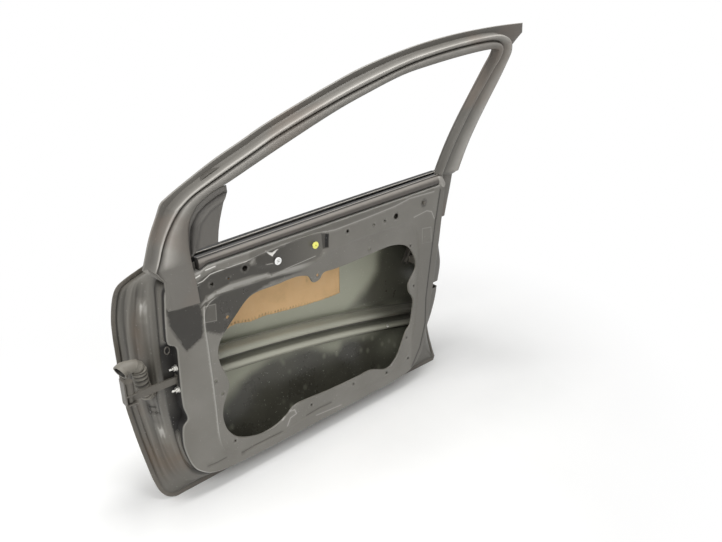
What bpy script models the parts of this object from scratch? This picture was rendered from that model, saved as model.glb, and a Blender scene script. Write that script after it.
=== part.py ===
"""Right-hand front door shell of a hatchback, seen as it comes off the car.

The shell is modelled in the car's own directions: X runs to the rear, Y runs
outboard and Z runs up. The design is laid out from the front hem (x = 0), the
flat trim face of the inner panel (y = 0) and the sill edge of the outer skin
(z = 0). The finished model hangs from an empty that puts the centre of the
upper hinge seat at the world's origin.
"""
import math
import bpy
import bmesh
from mathutils import Matrix, Vector
from mathutils.geometry import delaunay_2d_cdt

# Outer skin: its section through the door, from the sill edge to the belt.
SILL_Y = 0.055
BELLY_Y = 0.128
BELLY_Z = 0.42
BELT_Y = 0.105
BELT_Z = 0.66
TUCK_POWER = 2.6
PLAN_BOW = 0.006
MID_X = 0.55
SKIN_T = 0.0008

# Hem that wraps the edge of the inner panel.
HEM_RETURN = 0.009
FLANGE_WIDTH = 0.012
FLANGE_INSET = 0.0022
SHEET_GAP = 0.0006

# Inner panel.
PANEL_T = 0.001
STEP_ROUND = 0.002
WALL_LEAN = 0.004
LEDGE_Y = 0.056
TRIM_RECESS = 0.004
RECESS_WALL = 0.005

# Belt line: fold of the trim face, top of the inner strip, top of the skin.
FOLD_Z0 = 0.592
FOLD_SLOPE = 0.084
BAR_TOP_Z0 = 0.625
BAR_TOP_SLOPE = 0.067
SHOULDER_Z0 = 0.623
SHOULDER_SLOPE = 0.070
BELT_FLANGE_Y = 0.020
SKIN_FLANGE = 0.021
BELT_SHARE = 0.94
BELT_FLANGE_END = 0.965
BELT_FLANGE_RISE = 0.028
RAIL_T = 0.0012
BAR_X = (0.168, 0.990)
RAIL_INNER_X = (0.190, 0.975)
RAIL_OUTER_X = (0.150, 1.060)
STRIP_X = (0.172, 1.020)
BAR_RISE = 0.005
BAR_ROUND = 0.004
BAR_BULGE = 0.001
BAR_LIP = 0.010
# Sections across the belt: distance in from the rail's face and height over
# the fold or over the skin's top.
RAIL_INNER_SECTION = ((0.0, 0.027), (0.0, 0.006), (0.008, -0.002), (0.008, -0.034))
RAIL_FOOT = (0.003, 0.040, 0.048)
RAIL_OUTER_SECTION = ((0.0, -0.004), (0.0, -0.030), (0.014, -0.042), (0.014, -0.060))
STRIP_SECTION = (
    (0.0, -0.022), (0.004, -0.022), (0.009, -0.002), (0.010, 0.006), (0.007, 0.006), (0.002, -0.001),
    (0.0, -0.003),
)
BELT_STEPS = 14

# Window frame: a pressed section that leans inboard towards the roof.
LEAN_START_Z = 0.60
LEAN_SLOPE = 0.22
LEAN_CURVE = 0.18
FRAME_SETBACK = 0.020
SETBACK_RISE = (0.61, 0.72)
FRAME_DEPTH = 0.050
LIP_EDGE = 0.004
BAND_RISE = 0.010
BACK_EDGE = 0.002
LIP_DEPTH = FRAME_DEPTH - LIP_EDGE
BAND_DEPTH = FRAME_DEPTH - BAND_RISE
BACK_DEPTH = FRAME_DEPTH - BACK_EDGE
RUN_WIDTH = 0.016
RUN_TO_BACK = 0.009
RUN_TOP = FRAME_DEPTH - RUN_TO_BACK
RUN_BOTTOM = RUN_TOP - RUN_WIDTH
RUN_DEPTH = 0.034
RUN_SETBACK = 0.024
RUN_WALL = 0.002
GLASS_Y = RUN_TOP - RUN_WIDTH / 2
GLASS_SLOPE = 0.23
# Depth of the seal ridge, from the band to the groove, and of the bead from
# there to the window's edge, at shares of the way.
RIDGE_SECTION = ((0.12, 0.018), (0.35, 0.006), (0.80, 0.005), (1.0, 0.011))
BEAD_SECTION = ((0.15, 0.004), (0.75, 0.0), (1.0, 0.003))
LEG_PLATE_T = 0.0013
NUT_SECTION = ((0.0, 0.0065), (0.004, 0.0065), (0.005, 0.0045))
NUT_SIDES = 6
LEG_FACE_Y = 0.022
FRAME_STEPS = 2
SLIVER_AREA = 5e-7

# Upper hinge seat, which carries the door and holds the origin.
HINGE_UPPER_Z = 0.530
HINGE_LOWER_Z = 0.205
SEAT_WIDTH = 0.034
SEAT_HEIGHT = 0.062
SEAT_PROUD = 0.0015
SEAT_DEEP = 0.0055
SEAT_CLEARANCE = 0.001
HINGE_SEATS = (("hinge_seat_upper", HINGE_UPPER_Z), ("hinge_seat_lower", HINGE_LOWER_Z))

# Door check.
ARM_Y = 0.017
ARM_Z = 0.353
ARM_T = 0.005
ARM_HEIGHT = 0.018
ARM_FRONT_X = -0.018
ARM_REAR_X = 0.190
ARM_GAP = 0.0004
SLOT_GAP = 0.002
POCKET_X = 0.097
CHECK_BOX = (0.046, 0.030, 0.104)
CHECK_STANDOFF = 0.003
POCKET_DEPTH = 0.029
BOLT_R = 0.003
NUT_FLANGE_R = 0.0085
CHECK_BOLT_Y = 0.0125
CHECK_BOLT_Z = (0.329, 0.387)
EYE_R = 0.009
EYE_BARREL_R = 0.0075
PIN_R = 0.004
EAR_T = 0.003
EAR_REACH = 0.013
BRACKET_HALF = 0.012
BRACKET_RISE = 0.040

# Latch notch in the rear ledge.
NOTCH_X = 1.042
NOTCH_Z = 0.298
NOTCH_HEIGHT = 0.022
NOTCH_Y = 0.062
NOTCH_DEEP = 0.044
NOTCH_REACH = 0.100

# Mirror corner plate.
MIRROR_GAP = 0.0022
MIRROR_T = 0.0025

# Side beam: its section as drops below the upper flange and distances in
# from the skin, top to bottom.
BEAM_X = (0.085, 1.020)
BEAM_FROM = 0.2
BEAM_SPAN = 0.8
BEAM_TOP_Z = 0.349
BEAM_FALL = 0.1136
BEAM_CROWN = 0.048
BEAM_COUNT = 14
BEAM_T = 0.0015
BEAM_SECTION = (
    (0.0, 0.014), (0.006, 0.014), (0.012, 0.038), (0.028, 0.038), (0.034, 0.018),
    (0.046, 0.018), (0.052, 0.038), (0.068, 0.038), (0.074, 0.014), (0.086, 0.014),
)
MASTIC_X = (0.35, 0.55, 0.75, 0.93)
MASTIC_R = 0.004
MASTIC_GAP = 0.0005

# Reinforcements, from and to a station of the inner panel; the brackets of
# the side beam also reach from and to an x along the skin.
HINGE_PATCHES = (("hinge_reinforcement_upper", 4, 6.5), ("hinge_reinforcement_lower", 11.5, 14))
LATCH_PATCH = (29.5, 31.5)
PATCH_STANDOFF = 0.0034
LATCH_STANDOFF = 0.0029
BEAM_PATCHES = (
    ("beam_bracket_front", 8.5, 11, 0.060, 0.150), ("beam_bracket_rear", 28, 29, 1.030, 0.960),
)

# Wiring boot.
BOOT_SEAT_Z = 0.318
BOOT_SEAT_SHARE = 0.74
BOOT_GAP = 0.0010
BOOT_FLANGE_T = 0.003
BOOT_FLANGE_R = 0.0175
BOOT_NECK_R = 0.0115
BOOT_RIDGE = 0.0172
BOOT_VALLEY = 0.0132
BOOT_KNEE = 0.012
BOOT_KNEE_RISE = 0.004
BOOT_SPINE = (
    (0.0300, 0.0540, 0.338), (0.0255, 0.051, 0.357), (0.0215, 0.0465, 0.388), (0.0178, 0.0435, 0.409),
)
ELBOW_SPINE = ((0.009, 0.046, 0.429), (-0.006, 0.056, 0.424), (-0.021, 0.068, 0.411), (-0.033, 0.077, 0.399))
ELBOW_R = 0.0158
ELBOW_RIM_R = 0.0168
PLUG_R = 0.0112
PLUG_DEEP = 0.0135

# Damping pad on the skin.
PAD_X = (0.235, 0.695)
PAD_LEVELS = (0.365, 0.385, 0.420, 0.455, 0.490, 0.515)
PAD_T = 0.003
PAD_GAP = 0.0007

# Lower glass channels: name, x at the top and bottom, side of the web, and
# the height of the foot and how deep the trim face lies there.
GUIDES = (("front", 0.236, 0.262, -1, 0.530, TRIM_RECESS), ("rear", 0.964, 0.930, 1, 0.420, 0.0))
GUIDE_Z = (0.600, 0.400)
GUIDE_HALF = 0.010
GUIDE_WALL = 0.0015
GUIDE_DEEP = 0.016
FOOT_SIZE = (0.014, 0.020)

# Small fittings on the trim face.
NUT_AT = (0.912, 0.626)
EYELET_AT = (0.083, 0.0295, 0.429)
EYELET_R = 0.006

# Outside handle dish.
HANDLE_AT = (0.955, 0.560)
HANDLE_SIZE = (0.085, 0.032)
HANDLE_DEEP = 0.013
HANDLE_RIM = 0.010
HANDLE_SIDES = 20
HANDLE_PLATE = (0.150, 0.050)

# General clearance between pieces that touch.
SEAT = 0.0003

# Curve steps between the stations of the perimeter.
STEPS = 2


def lerp(a, b, t):
    """Point or number that lies the share t of the way from a to b."""
    return tuple(p + (q - p) * t for p, q in zip(a, b))


def spline_span(p0, p1, p2, p3, t):
    """Catmull-Rom curve through p1 (t = 0) and p2 (t = 1)."""
    return tuple(
        0.5 * (2 * b + (c - a) * t + (2 * a - 5 * b + 4 * c - d) * t * t
               + (3 * b - a - 3 * c + d) * t * t * t)
        for a, b, c, d in zip(p0, p1, p2, p3))


def smooth(points, steps=STEPS, breaks=()):
    """Open smooth curve through the points, with a corner at each break."""
    last = len(points) - 1
    corners = set(breaks) | {0, last}
    result = []
    for i in range(last):
        p1, p2 = points[i], points[i + 1]
        p0 = p1 if i in corners else points[i - 1]
        p3 = p2 if i + 1 in corners else points[i + 2]
        result += [spline_span(p0, p1, p2, p3, k / steps) for k in range(steps)]
    return result + [tuple(points[last])]


def smooth_loop(points, steps=STEPS):
    """Closed smooth curve through the points."""
    n = len(points)
    result = []
    for i in range(n):
        quad = [points[(i + k) % n] for k in (-1, 0, 1, 2)]
        result += [spline_span(*quad, k / steps) for k in range(steps)]
    return result


def inset(loop, distance):
    """Closed loop in plan moved towards its own inside by the distance."""
    n = len(loop)
    turn = sum(a[0] * b[1] - b[0] * a[1] for a, b in zip(loop, loop[1:] + loop[:1]))
    side = 1.0 if turn > 0 else -1.0
    result = []
    for i, point in enumerate(loop):
        before, after = loop[i - 1], loop[(i + 1) % n]
        dx, dz = after[0] - before[0], after[1] - before[1]
        length = math.hypot(dx, dz)
        result.append((point[0] - side * dz / length * distance,
                       point[1] + side * dx / length * distance))
    return result


def inside(point, loop):
    """True where the point lies inside the closed loop."""
    x, z = point
    hit = False
    for (x1, z1), (x2, z2) in zip(loop, loop[1:] + loop[:1]):
        if (z1 > z) != (z2 > z) and x < x1 + (z - z1) / (z2 - z1) * (x2 - x1):
            hit = not hit
    return hit


def skin_y(x, z):
    """Outboard face of the skin."""
    bow = PLAN_BOW * ((x - MID_X) / MID_X) ** 2
    if z < BELLY_Z:
        fall = (BELLY_Y - SILL_Y) * (1 - max(z, 0.0) / BELLY_Z) ** TUCK_POWER
    else:
        fall = (BELLY_Y - BELT_Y) * ((z - BELLY_Z) / (BELT_Z - BELLY_Z)) ** 2
    return BELLY_Y - fall - bow


def frame_y(z):
    """Inboard face of the window frame."""
    rise = max(z - LEAN_START_Z, 0.0)
    low, high = SETBACK_RISE
    share = min(max((z - low) / (high - low), 0.0), 1.0)
    setback = FRAME_SETBACK * share * share * (3 - 2 * share)
    return setback - LEAN_SLOPE * rise - LEAN_CURVE * rise * rise


def glass_y(z):
    """Middle of the glass run, in the frame and down inside the door."""
    if z > BELT_Z:
        return frame_y(z) + GLASS_Y
    return frame_y(BELT_Z) + GLASS_Y + GLASS_SLOPE * (BELT_Z - z)


def fold_z(x):
    """Height of the fold along the top of the trim face."""
    return FOLD_Z0 + FOLD_SLOPE * x


def bar_top_z(x):
    """Height of the inner belt strip's top."""
    return BAR_TOP_Z0 + BAR_TOP_SLOPE * x


def shoulder_z(x):
    """Height at which the skin turns inboard."""
    return SHOULDER_Z0 + SHOULDER_SLOPE * x


# Stations round the door: down the front, along the sill and up the rear.
# Each gives the hem (x, z), the ledge and the shoulder (x, y, z), and the
# edge of the trim face (x, z). The trim edge steps back for the check.
STATIONS = (
    ((0.130, 0.632), (0.143, 0.070, 0.622), (0.155, 0.034, 0.617), (0.157, 0.605)),
    ((0.080, 0.608), (0.095, 0.070, 0.612), (0.103, 0.034, 0.611), (0.118, 0.600)),
    ((0.045, 0.592), (0.072, 0.072, 0.603), (0.084, 0.034, 0.604), (0.098, 0.594)),
    ((0.022, 0.576), (0.056, 0.074, 0.586), (0.076, 0.033, 0.588), (0.086, 0.578)),
    ((0.010, 0.548), (0.047, 0.076, 0.553), (0.0735, 0.032, 0.556), (0.082, 0.548)),
    ((0.002, 0.500), (0.040, 0.078, 0.500), (0.071, 0.031, 0.500), (0.079, 0.500)),
    ((0.000, 0.455), (0.037, 0.078, 0.455), (0.069, 0.031, 0.455), (0.0785, 0.462)),
    ((0.000, 0.430), (0.0365, 0.078, 0.430), (0.0685, 0.031, 0.435), (0.097, 0.445)),
    ((0.000, 0.400), (0.036, 0.078, 0.400), (0.068, 0.031, 0.405), (0.0985, 0.412)),
    ((0.000, 0.345), (0.036, 0.078, 0.345), (0.068, 0.031, 0.345), (POCKET_X, 0.345)),
    ((0.001, 0.290), (0.037, 0.077, 0.290), (0.069, 0.031, 0.290), (0.0975, 0.285)),
    ((0.003, 0.255), (0.039, 0.076, 0.258), (0.071, 0.031, 0.255), (0.105, 0.247)),
    ((0.006, 0.225), (0.042, 0.075, 0.228), (0.074, 0.031, 0.230), (0.0905, 0.227)),
    ((0.011, 0.175), (0.047, 0.068, 0.180), (0.079, 0.030, 0.180), (0.0875, 0.178)),
    ((0.018, 0.115), (0.055, 0.060, 0.122), (0.086, 0.027, 0.130), (0.096, 0.132)),
    ((0.026, 0.055), (0.066, 0.052, 0.075), (0.098, 0.024, 0.092), (0.108, 0.100)),
    ((0.038, 0.020), (0.082, 0.045, 0.048), (0.114, 0.020, 0.066), (0.126, 0.078)),
    ((0.062, 0.002), (0.108, 0.041, 0.032), (0.140, 0.018, 0.048), (0.152, 0.060)),
    ((0.100, 0.000), (0.150, 0.040, 0.024), (0.185, 0.016, 0.038), (0.195, 0.050)),
    ((0.250, 0.000), (0.270, 0.040, 0.020), (0.280, 0.016, 0.034), (0.280, 0.046)),
    ((0.450, 0.000), (0.450, 0.040, 0.020), (0.450, 0.016, 0.033), (0.450, 0.045)),
    ((0.650, 0.000), (0.650, 0.040, 0.020), (0.650, 0.016, 0.033), (0.650, 0.045)),
    ((0.850, 0.000), (0.830, 0.040, 0.022), (0.820, 0.016, 0.034), (0.820, 0.046)),
    ((0.980, 0.000), (0.930, 0.040, 0.030), (0.885, 0.018, 0.042), (0.880, 0.054)),
    ((1.066, 0.000), (0.985, 0.046, 0.055), (0.922, 0.025, 0.066), (0.915, 0.075)),
    ((1.078, 0.011), (1.005, 0.050, 0.085), (0.942, 0.035, 0.095), (0.935, 0.100)),
    ((1.076, 0.040), (1.018, 0.053, 0.115), (0.953, 0.042, 0.125), (0.946, 0.130)),
    ((1.072, 0.110), (1.030, 0.055, 0.150), (0.961, 0.046, 0.170), (0.954, 0.172)),
    ((1.076, 0.180), (1.052, LEDGE_Y, 0.190), (0.970, 0.048, 0.220), (0.962, 0.222)),
    ((1.084, 0.240), (1.069, LEDGE_Y, 0.245), (0.978, 0.050, 0.275), (0.970, 0.276)),
    ((1.093, 0.300), (1.076, LEDGE_Y, 0.300), (0.986, 0.050, 0.335), (0.978, 0.335)),
    ((1.099, 0.370), (1.084, LEDGE_Y, 0.370), (0.991, 0.050, 0.385), (0.983, 0.385)),
    ((1.099, 0.430), (1.070, LEDGE_Y, 0.430), (0.995, 0.050, 0.430), (0.987, 0.430)),
    ((1.097, 0.480), (1.059, LEDGE_Y, 0.480), (1.001, 0.053, 0.485), (0.9935, 0.485)),
    ((1.097, 0.540), (1.066, LEDGE_Y, 0.540), (1.006, 0.0555, 0.545), (0.998, 0.545)),
    ((1.100, 0.610), (1.072, LEDGE_Y, 0.600), (1.010, 0.0555, 0.600), (1.002, 0.600)),
    ((1.102, 0.699), (1.075, LEDGE_Y, 0.675), (1.012, 0.0555, 0.675), (1.004, 0.676)),
)
HEM_CORNERS = (24, 25)

# Access opening in the trim face, anticlockwise from its front top corner.
OPENING = (
    (0.283, 0.503), (0.250, 0.472), (0.215, 0.435), (0.198, 0.405), (0.197, 0.365),
    (0.212, 0.320), (0.218, 0.290), (0.208, 0.262), (0.197, 0.235), (0.194, 0.200),
    (0.204, 0.160), (0.230, 0.125), (0.268, 0.105), (0.308, 0.096), (0.350, 0.100),
    (0.385, 0.114), (0.415, 0.135), (0.460, 0.135), (0.540, 0.129), (0.650, 0.126),
    (0.710, 0.126), (0.780, 0.102), (0.822, 0.125), (0.845, 0.168), (0.862, 0.205),
    (0.882, 0.230), (0.891, 0.300), (0.884, 0.325), (0.868, 0.348), (0.864, 0.372),
    (0.876, 0.392), (0.894, 0.420), (0.886, 0.460), (0.850, 0.503), (0.790, 0.521),
    (0.715, 0.519), (0.640, 0.512), (0.565, 0.508), (0.525, 0.508), (0.508, 0.492),
    (0.488, 0.490), (0.472, 0.512), (0.430, 0.521), (0.370, 0.517), (0.315, 0.515),
)

# Recessed field round the opening, in the same order.
FIELD = (
    (0.350, 0.560), (0.293, 0.561), (0.232, 0.555), (0.192, 0.538), (0.168, 0.516),
    (0.167, 0.480), (0.171, 0.403), (0.174, 0.320), (0.176, 0.240), (0.178, 0.155),
    (0.191, 0.101), (0.219, 0.079), (0.252, 0.067), (0.359, 0.066), (0.450, 0.076),
    (0.650, 0.078), (0.790, 0.076), (0.850, 0.095), (0.884, 0.140), (0.900, 0.200),
    (0.906, 0.300), (0.906, 0.400), (0.902, 0.480), (0.888, 0.540), (0.850, 0.574),
    (0.780, 0.580), (0.640, 0.574), (0.510, 0.564), (0.444, 0.554), (0.385, 0.550),
)

# Raised pads of the trim face: corners in plan.
PADS = (
    ((0.912, 0.549), (0.943, 0.545), (0.944, 0.496), (0.914, 0.499)),
    ((0.895, 0.592), (0.951, 0.597), (0.976, 0.566), (0.976, 0.545), (0.960, 0.562), (0.935, 0.583)),
)
PAD_RISE = 0.0015
PAD_SLOPE = 0.004

# Round holes in the trim face: x, z and radius.
TRIM_HOLES = (
    (0.197, 0.568, 0.0045), (0.241, 0.570, 0.0025), (0.286, 0.583, 0.007),
    (0.6065, 0.6052, 0.0045), (0.705, 0.602, 0.003), (0.748, 0.604, 0.0035),
    (0.793, 0.609, 0.0085), (0.863, 0.501, 0.003), (0.691, 0.532, 0.003),
    (0.502, 0.506, 0.004), (0.887, 0.362, 0.003), (0.228, 0.475, 0.004),
    (0.183, 0.316, 0.003), (0.198, 0.274, 0.003),
    (0.222, 0.119, 0.003), (0.866, 0.184, 0.003), (0.876, 0.105, 0.0035),
    (0.778, 0.089, 0.004), (0.635, 0.110, 0.003), (0.473, 0.111, 0.0035),
)
TRIM_SLOT = (0.527, 0.594, 0.012, 0.034)

# Frame outlines at matching stations, up the front leg, over the roof rail
# and down the pillar: outer lip, band, seal groove and window edge.
LIP = (
    (0.0845, 0.537), (0.0840, 0.575), (0.0830, 0.606), (0.058, 0.627), (0.068, 0.656),
    (0.077, 0.682), (0.096, 0.735), (0.105, 0.764), (0.111, 0.774), (0.149, 0.801),
    (0.224, 0.849), (0.287, 0.883), (0.359, 0.922), (0.508, 0.990), (0.603, 1.028),
    (0.708, 1.059), (0.797, 1.080), (0.905, 1.099), (1.024, 1.114), (1.109, 1.122),
    (1.179, 1.127), (1.198, 1.102), (1.173, 1.070), (1.158, 1.037), (1.154, 0.986),
    (1.140, 0.922), (1.124, 0.851), (1.113, 0.784), (1.107, 0.714), (1.103, 0.700),
    (1.096, 0.686), (1.089, 0.645), (1.078, 0.600), (1.068, 0.553),
)
BAND = (
    (0.0870, 0.537), (0.0865, 0.575), (0.0855, 0.606), (0.067, 0.630), (0.078, 0.659),
    (0.087, 0.686), (0.105, 0.732), (0.115, 0.753), (0.122, 0.764), (0.155, 0.794),
    (0.226, 0.836), (0.289, 0.869), (0.364, 0.910), (0.508, 0.975), (0.603, 1.012),
    (0.707, 1.045), (0.796, 1.065), (0.905, 1.085), (1.003, 1.098), (1.056, 1.100),
    (1.095, 1.092), (1.123, 1.079), (1.143, 1.056), (1.146, 1.027), (1.142, 0.981),
    (1.129, 0.919), (1.113, 0.847), (1.102, 0.785), (1.096, 0.715), (1.092, 0.700),
    (1.086, 0.686), (1.078, 0.645), (1.067, 0.600), (1.057, 0.553),
)
GROOVE = (
    (0.0900, 0.537), (0.0895, 0.575), (0.0885, 0.606), (0.072, 0.632), (0.083, 0.659),
    (0.092, 0.683), (0.115, 0.733), (0.130, 0.758), (0.140, 0.770), (0.165, 0.790),
    (0.223, 0.822), (0.290, 0.858), (0.362, 0.896), (0.500, 0.955), (0.596, 0.991),
    (0.696, 1.025), (0.788, 1.048), (0.894, 1.067), (0.986, 1.079), (1.030, 1.080),
    (1.060, 1.074), (1.079, 1.059), (1.081, 1.034), (1.068, 1.004), (1.054, 0.962),
    (1.039, 0.919), (1.019, 0.852), (1.004, 0.787), (0.993, 0.721), (0.990, 0.704),
    (1.024, 0.686), (1.024, 0.645), (1.023, 0.600), (1.021, 0.553),
)
WINDOW = (
    (0.161, 0.535), (0.158, 0.575), (0.154, 0.608), (0.150, 0.638), (0.148, 0.666),
    (0.149, 0.693), (0.152, 0.730), (0.165, 0.759), (0.174, 0.769), (0.202, 0.789),
    (0.239, 0.804), (0.293, 0.831), (0.365, 0.867), (0.498, 0.931), (0.594, 0.970),
    (0.696, 1.006), (0.788, 1.026), (0.891, 1.044), (0.968, 1.055), (1.020, 1.060),
    (1.045, 1.060), (1.058, 1.053), (1.060, 1.036), (1.052, 1.008), (1.040, 0.966),
    (1.026, 0.922), (1.006, 0.853), (0.991, 0.788), (0.980, 0.721), (0.977, 0.702),
    (1.0135, 0.684), (1.0135, 0.645), (1.0125, 0.600), (1.010, 0.553),
)
LIP_CORNERS = (2, 3, 8, 20, 21, 29, 30)
LEG_BREAKS = (2, 3, 29, 30)
RUN_FIRST = 10
RUN_LAST = 28


class Model:
    """Collections, materials and the root that all pieces hang from."""

    def __init__(self):
        for old in list(bpy.data.objects):
            bpy.data.objects.remove(old, do_unlink=True)
        self.parts = self.collection("door_shell")
        self.tools = self.collection("cutters")
        self.root = bpy.data.objects.new("hinge_origin", None)
        self.parts.objects.link(self.root)
        seat = hinge_seat_frame(HINGE_UPPER_Z)[0]
        self.root.location = -seat
        self.materials = {}

    @staticmethod
    def collection(name):
        made = bpy.data.collections.new(name)
        bpy.context.scene.collection.children.link(made)
        return made

    def material(self, name, colour, roughness, metallic):
        """Plain Principled BSDF material, made once for each name."""
        if name not in self.materials:
            made = bpy.data.materials.new(name)
            made.use_nodes = True
            shader = made.node_tree.nodes["Principled BSDF"]
            shader.inputs["Base Color"].default_value = (*colour, 1.0)
            shader.inputs["Roughness"].default_value = roughness
            shader.inputs["Metallic"].default_value = metallic
            self.materials[name] = made
        return self.materials[name]

    def add(self, name, mesh, material, parent=None):
        """Object for one piece, parented to the root or to a joint's empty."""
        piece = bpy.data.objects.new(name, mesh)
        self.parts.objects.link(piece)
        piece.parent = parent or self.root
        if parent:
            piece.matrix_parent_inverse = Matrix.Translation(-parent.location)
        piece.data.materials.append(material)
        return piece

    def cutter(self, name, mesh):
        """Hidden tool for a Boolean."""
        tool = bpy.data.objects.new(name, mesh)
        self.tools.objects.link(tool)
        tool.parent = self.root
        tool.hide_render = True
        tool.display_type = "WIRE"
        return tool

    def pivot(self, name, location):
        """Empty on a joint's axis."""
        empty = bpy.data.objects.new(name, None)
        self.parts.objects.link(empty)
        empty.parent = self.root
        empty.location = location
        return empty


PAINT = ("sprayed_grey_paint", (0.16, 0.15, 0.135), 0.42, 0.0)
PRIMER = ("green_grey_primer", (0.27, 0.28, 0.24), 0.5, 0.0)
RUBBER = ("black_rubber", (0.03, 0.03, 0.03), 0.7, 0.0)
ZINC = ("zinc_plate", (0.72, 0.72, 0.70), 0.35, 1.0)
DARK_STEEL = ("dark_steel", (0.10, 0.10, 0.095), 0.45, 0.6)
FELT = ("brown_damping_felt", (0.47, 0.30, 0.15), 0.9, 0.0)
WHITE_PLASTIC = ("white_plastic", (0.82, 0.83, 0.80), 0.45, 0.0)
YELLOW_PLASTIC = ("yellow_plastic", (0.78, 0.80, 0.22), 0.45, 0.0)
BLACK_PLASTIC = ("black_plastic", (0.06, 0.058, 0.052), 0.55, 0.0)
CLIPS = (("clip_white", 0.376, 0.580, WHITE_PLASTIC), ("clip_yellow", 0.494, 0.593, YELLOW_PLASTIC))


def mesh_from(name, bm, smooth_angle=35.0):
    """Finished mesh of a bmesh, with outward faces and sharp folds marked."""
    bmesh.ops.recalc_face_normals(bm, faces=bm.faces)
    mesh = bpy.data.meshes.new(name)
    bm.to_mesh(mesh)
    bm.free()
    mesh.shade_smooth()
    mesh.set_sharp_from_angle(angle=math.radians(smooth_angle))
    return mesh


def grid_mesh(name, rows, closed_rows=False, caps=False, smooth_angle=35.0):
    """Loft between rows of points; closed rows make a tube, with end caps."""
    bm = bmesh.new()
    grid = [[bm.verts.new(p) for p in row] for row in rows]
    width = len(rows[0])
    last = width if closed_rows else width - 1
    for a, b in zip(grid, grid[1:]):
        for i in range(last):
            j = (i + 1) % width
            bm.faces.new((a[i], a[j], b[j], b[i]))
    if caps:
        bm.faces.new(list(reversed(grid[0])))
        bm.faces.new(grid[-1])
    return mesh_from(name, bm, smooth_angle)


def face_towards(mesh, direction):
    """Turn an open sheet's faces so that most look along the direction."""
    total = sum((p.normal.dot(direction) * p.area for p in mesh.polygons), 0.0)
    if total < 0:
        mesh.flip_normals()
    return mesh


def solidify(piece, thickness, offset, even=True):
    """Give an open sheet its thickness."""
    mod = piece.modifiers.new("thickness", "SOLIDIFY")
    mod.thickness = thickness
    mod.offset = offset
    mod.use_even_offset = even
    return mod


def cut(piece, tool, operation="DIFFERENCE"):
    """Boolean with an exact solver."""
    mod = piece.modifiers.new(tool.name, "BOOLEAN")
    mod.operation = operation
    mod.solver = "EXACT"
    mod.object = tool
    return mod


def block_mesh(name, centre, size, turn=None, bevel=0.0):
    """Box with optional turn about its centre and rounded edges."""
    bm = bmesh.new()
    bmesh.ops.create_cube(bm, size=1.0)
    bmesh.ops.scale(bm, vec=Vector(size), verts=bm.verts)
    if bevel:
        bmesh.ops.bevel(bm, geom=list(bm.edges), offset=bevel, segments=1, affect="EDGES")
    if turn:
        bmesh.ops.transform(bm, matrix=turn, verts=bm.verts)
    bmesh.ops.translate(bm, vec=Vector(centre), verts=bm.verts)
    return mesh_from(name, bm)


def add_cylinder(bm, centre, axis, radius, length, sides=12, top_radius=None):
    """Closed cylinder or cone centred on a point, along an axis."""
    turn = Vector((0, 0, 1)).rotation_difference(Vector(axis)).to_matrix().to_4x4()
    bmesh.ops.create_cone(
        bm, cap_ends=True, segments=sides, radius1=radius,
        radius2=radius if top_radius is None else top_radius, depth=length,
        matrix=Matrix.Translation(Vector(centre)) @ turn)


def turned_mesh(name, profile, base, axis, sides=16):
    """Turned solid: the profile gives (distance along the axis, radius)."""
    axis = Vector(axis).normalized()
    across = axis.orthogonal().normalized()
    other = axis.cross(across)
    rows = []
    for along, radius in profile:
        centre = Vector(base) + axis * along
        rows.append([centre + radius * (across * math.cos(a) + other * math.sin(a))
                     for a in (2 * math.pi * i / sides for i in range(sides))])
    return grid_mesh(name, rows, closed_rows=True, caps=True)


def pressed_sheet(name, outlines, depth_at, extra=(), holes=(), smooth_angle=30.0):
    """Sheet triangulated in plan and pressed to depth.

    outlines holds closed loops in plan; the first is the sheet's edge. extra
    holds single points, and holes the loops whose insides stay open.
    """
    bm = bmesh.new()
    add_pressed(bm, outlines, depth_at, extra, holes)
    return mesh_from(name, bm, smooth_angle)


def add_pressed(bm, outlines, depth_at, extra=(), holes=()):
    """Triangulate plan loops into the bmesh; returns the edge loop's verts."""
    coords, edges = [], []
    for loop in outlines:
        first = len(coords)
        coords += [Vector(p) for p in loop]
        edges += [(first + i, first + (i + 1) % len(loop)) for i in range(len(loop))]
    coords += [Vector(p) for p in extra]
    points, _, faces, origins, _, _ = delaunay_2d_cdt(coords, edges, [], 0, 1e-7)
    edge_loop = outlines[0]
    verts = {}
    for face in faces:
        a, b, c = (points[i] for i in face)
        middle = (a + b + c) / 3
        sliver = abs((b - a).cross(c - a)) < SLIVER_AREA
        if sliver or not inside(middle, edge_loop) or any(inside(middle, hole) for hole in holes):
            continue
        for i in face:
            if i not in verts:
                source = origins[i][0] if origins[i] else -1
                x, z = points[i]
                verts[i] = bm.verts.new((x, depth_at(source, x, z), z))
        bm.faces.new([verts[i] for i in face])
    by_source = {origins[i][0]: v for i, v in verts.items() if origins[i]}
    return [by_source[k] for k in range(len(edge_loop))]


def station_curves(steps=STEPS):
    """The perimeter's outlines, with extra stations between the given ones."""
    hem = smooth([s[0] for s in STATIONS], steps, breaks=HEM_CORNERS)
    ledge = smooth([s[1] for s in STATIONS], steps)
    shoulder = smooth([s[2] for s in STATIONS], steps)
    trim = smooth([s[3] for s in STATIONS], steps)
    return hem, ledge, shoulder, trim


def hem_inset(hem, distance):
    """The hem's line moved into the door by the distance, in plan."""
    result = []
    for i, (x, z) in enumerate(hem):
        before, after = hem[max(i - 1, 0)], hem[min(i + 1, len(hem) - 1)]
        dx, dz = after[0] - before[0], after[1] - before[1]
        length = math.hypot(dx, dz)
        result.append((x - dz / length * distance, z + dx / length * distance))
    return result


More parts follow.
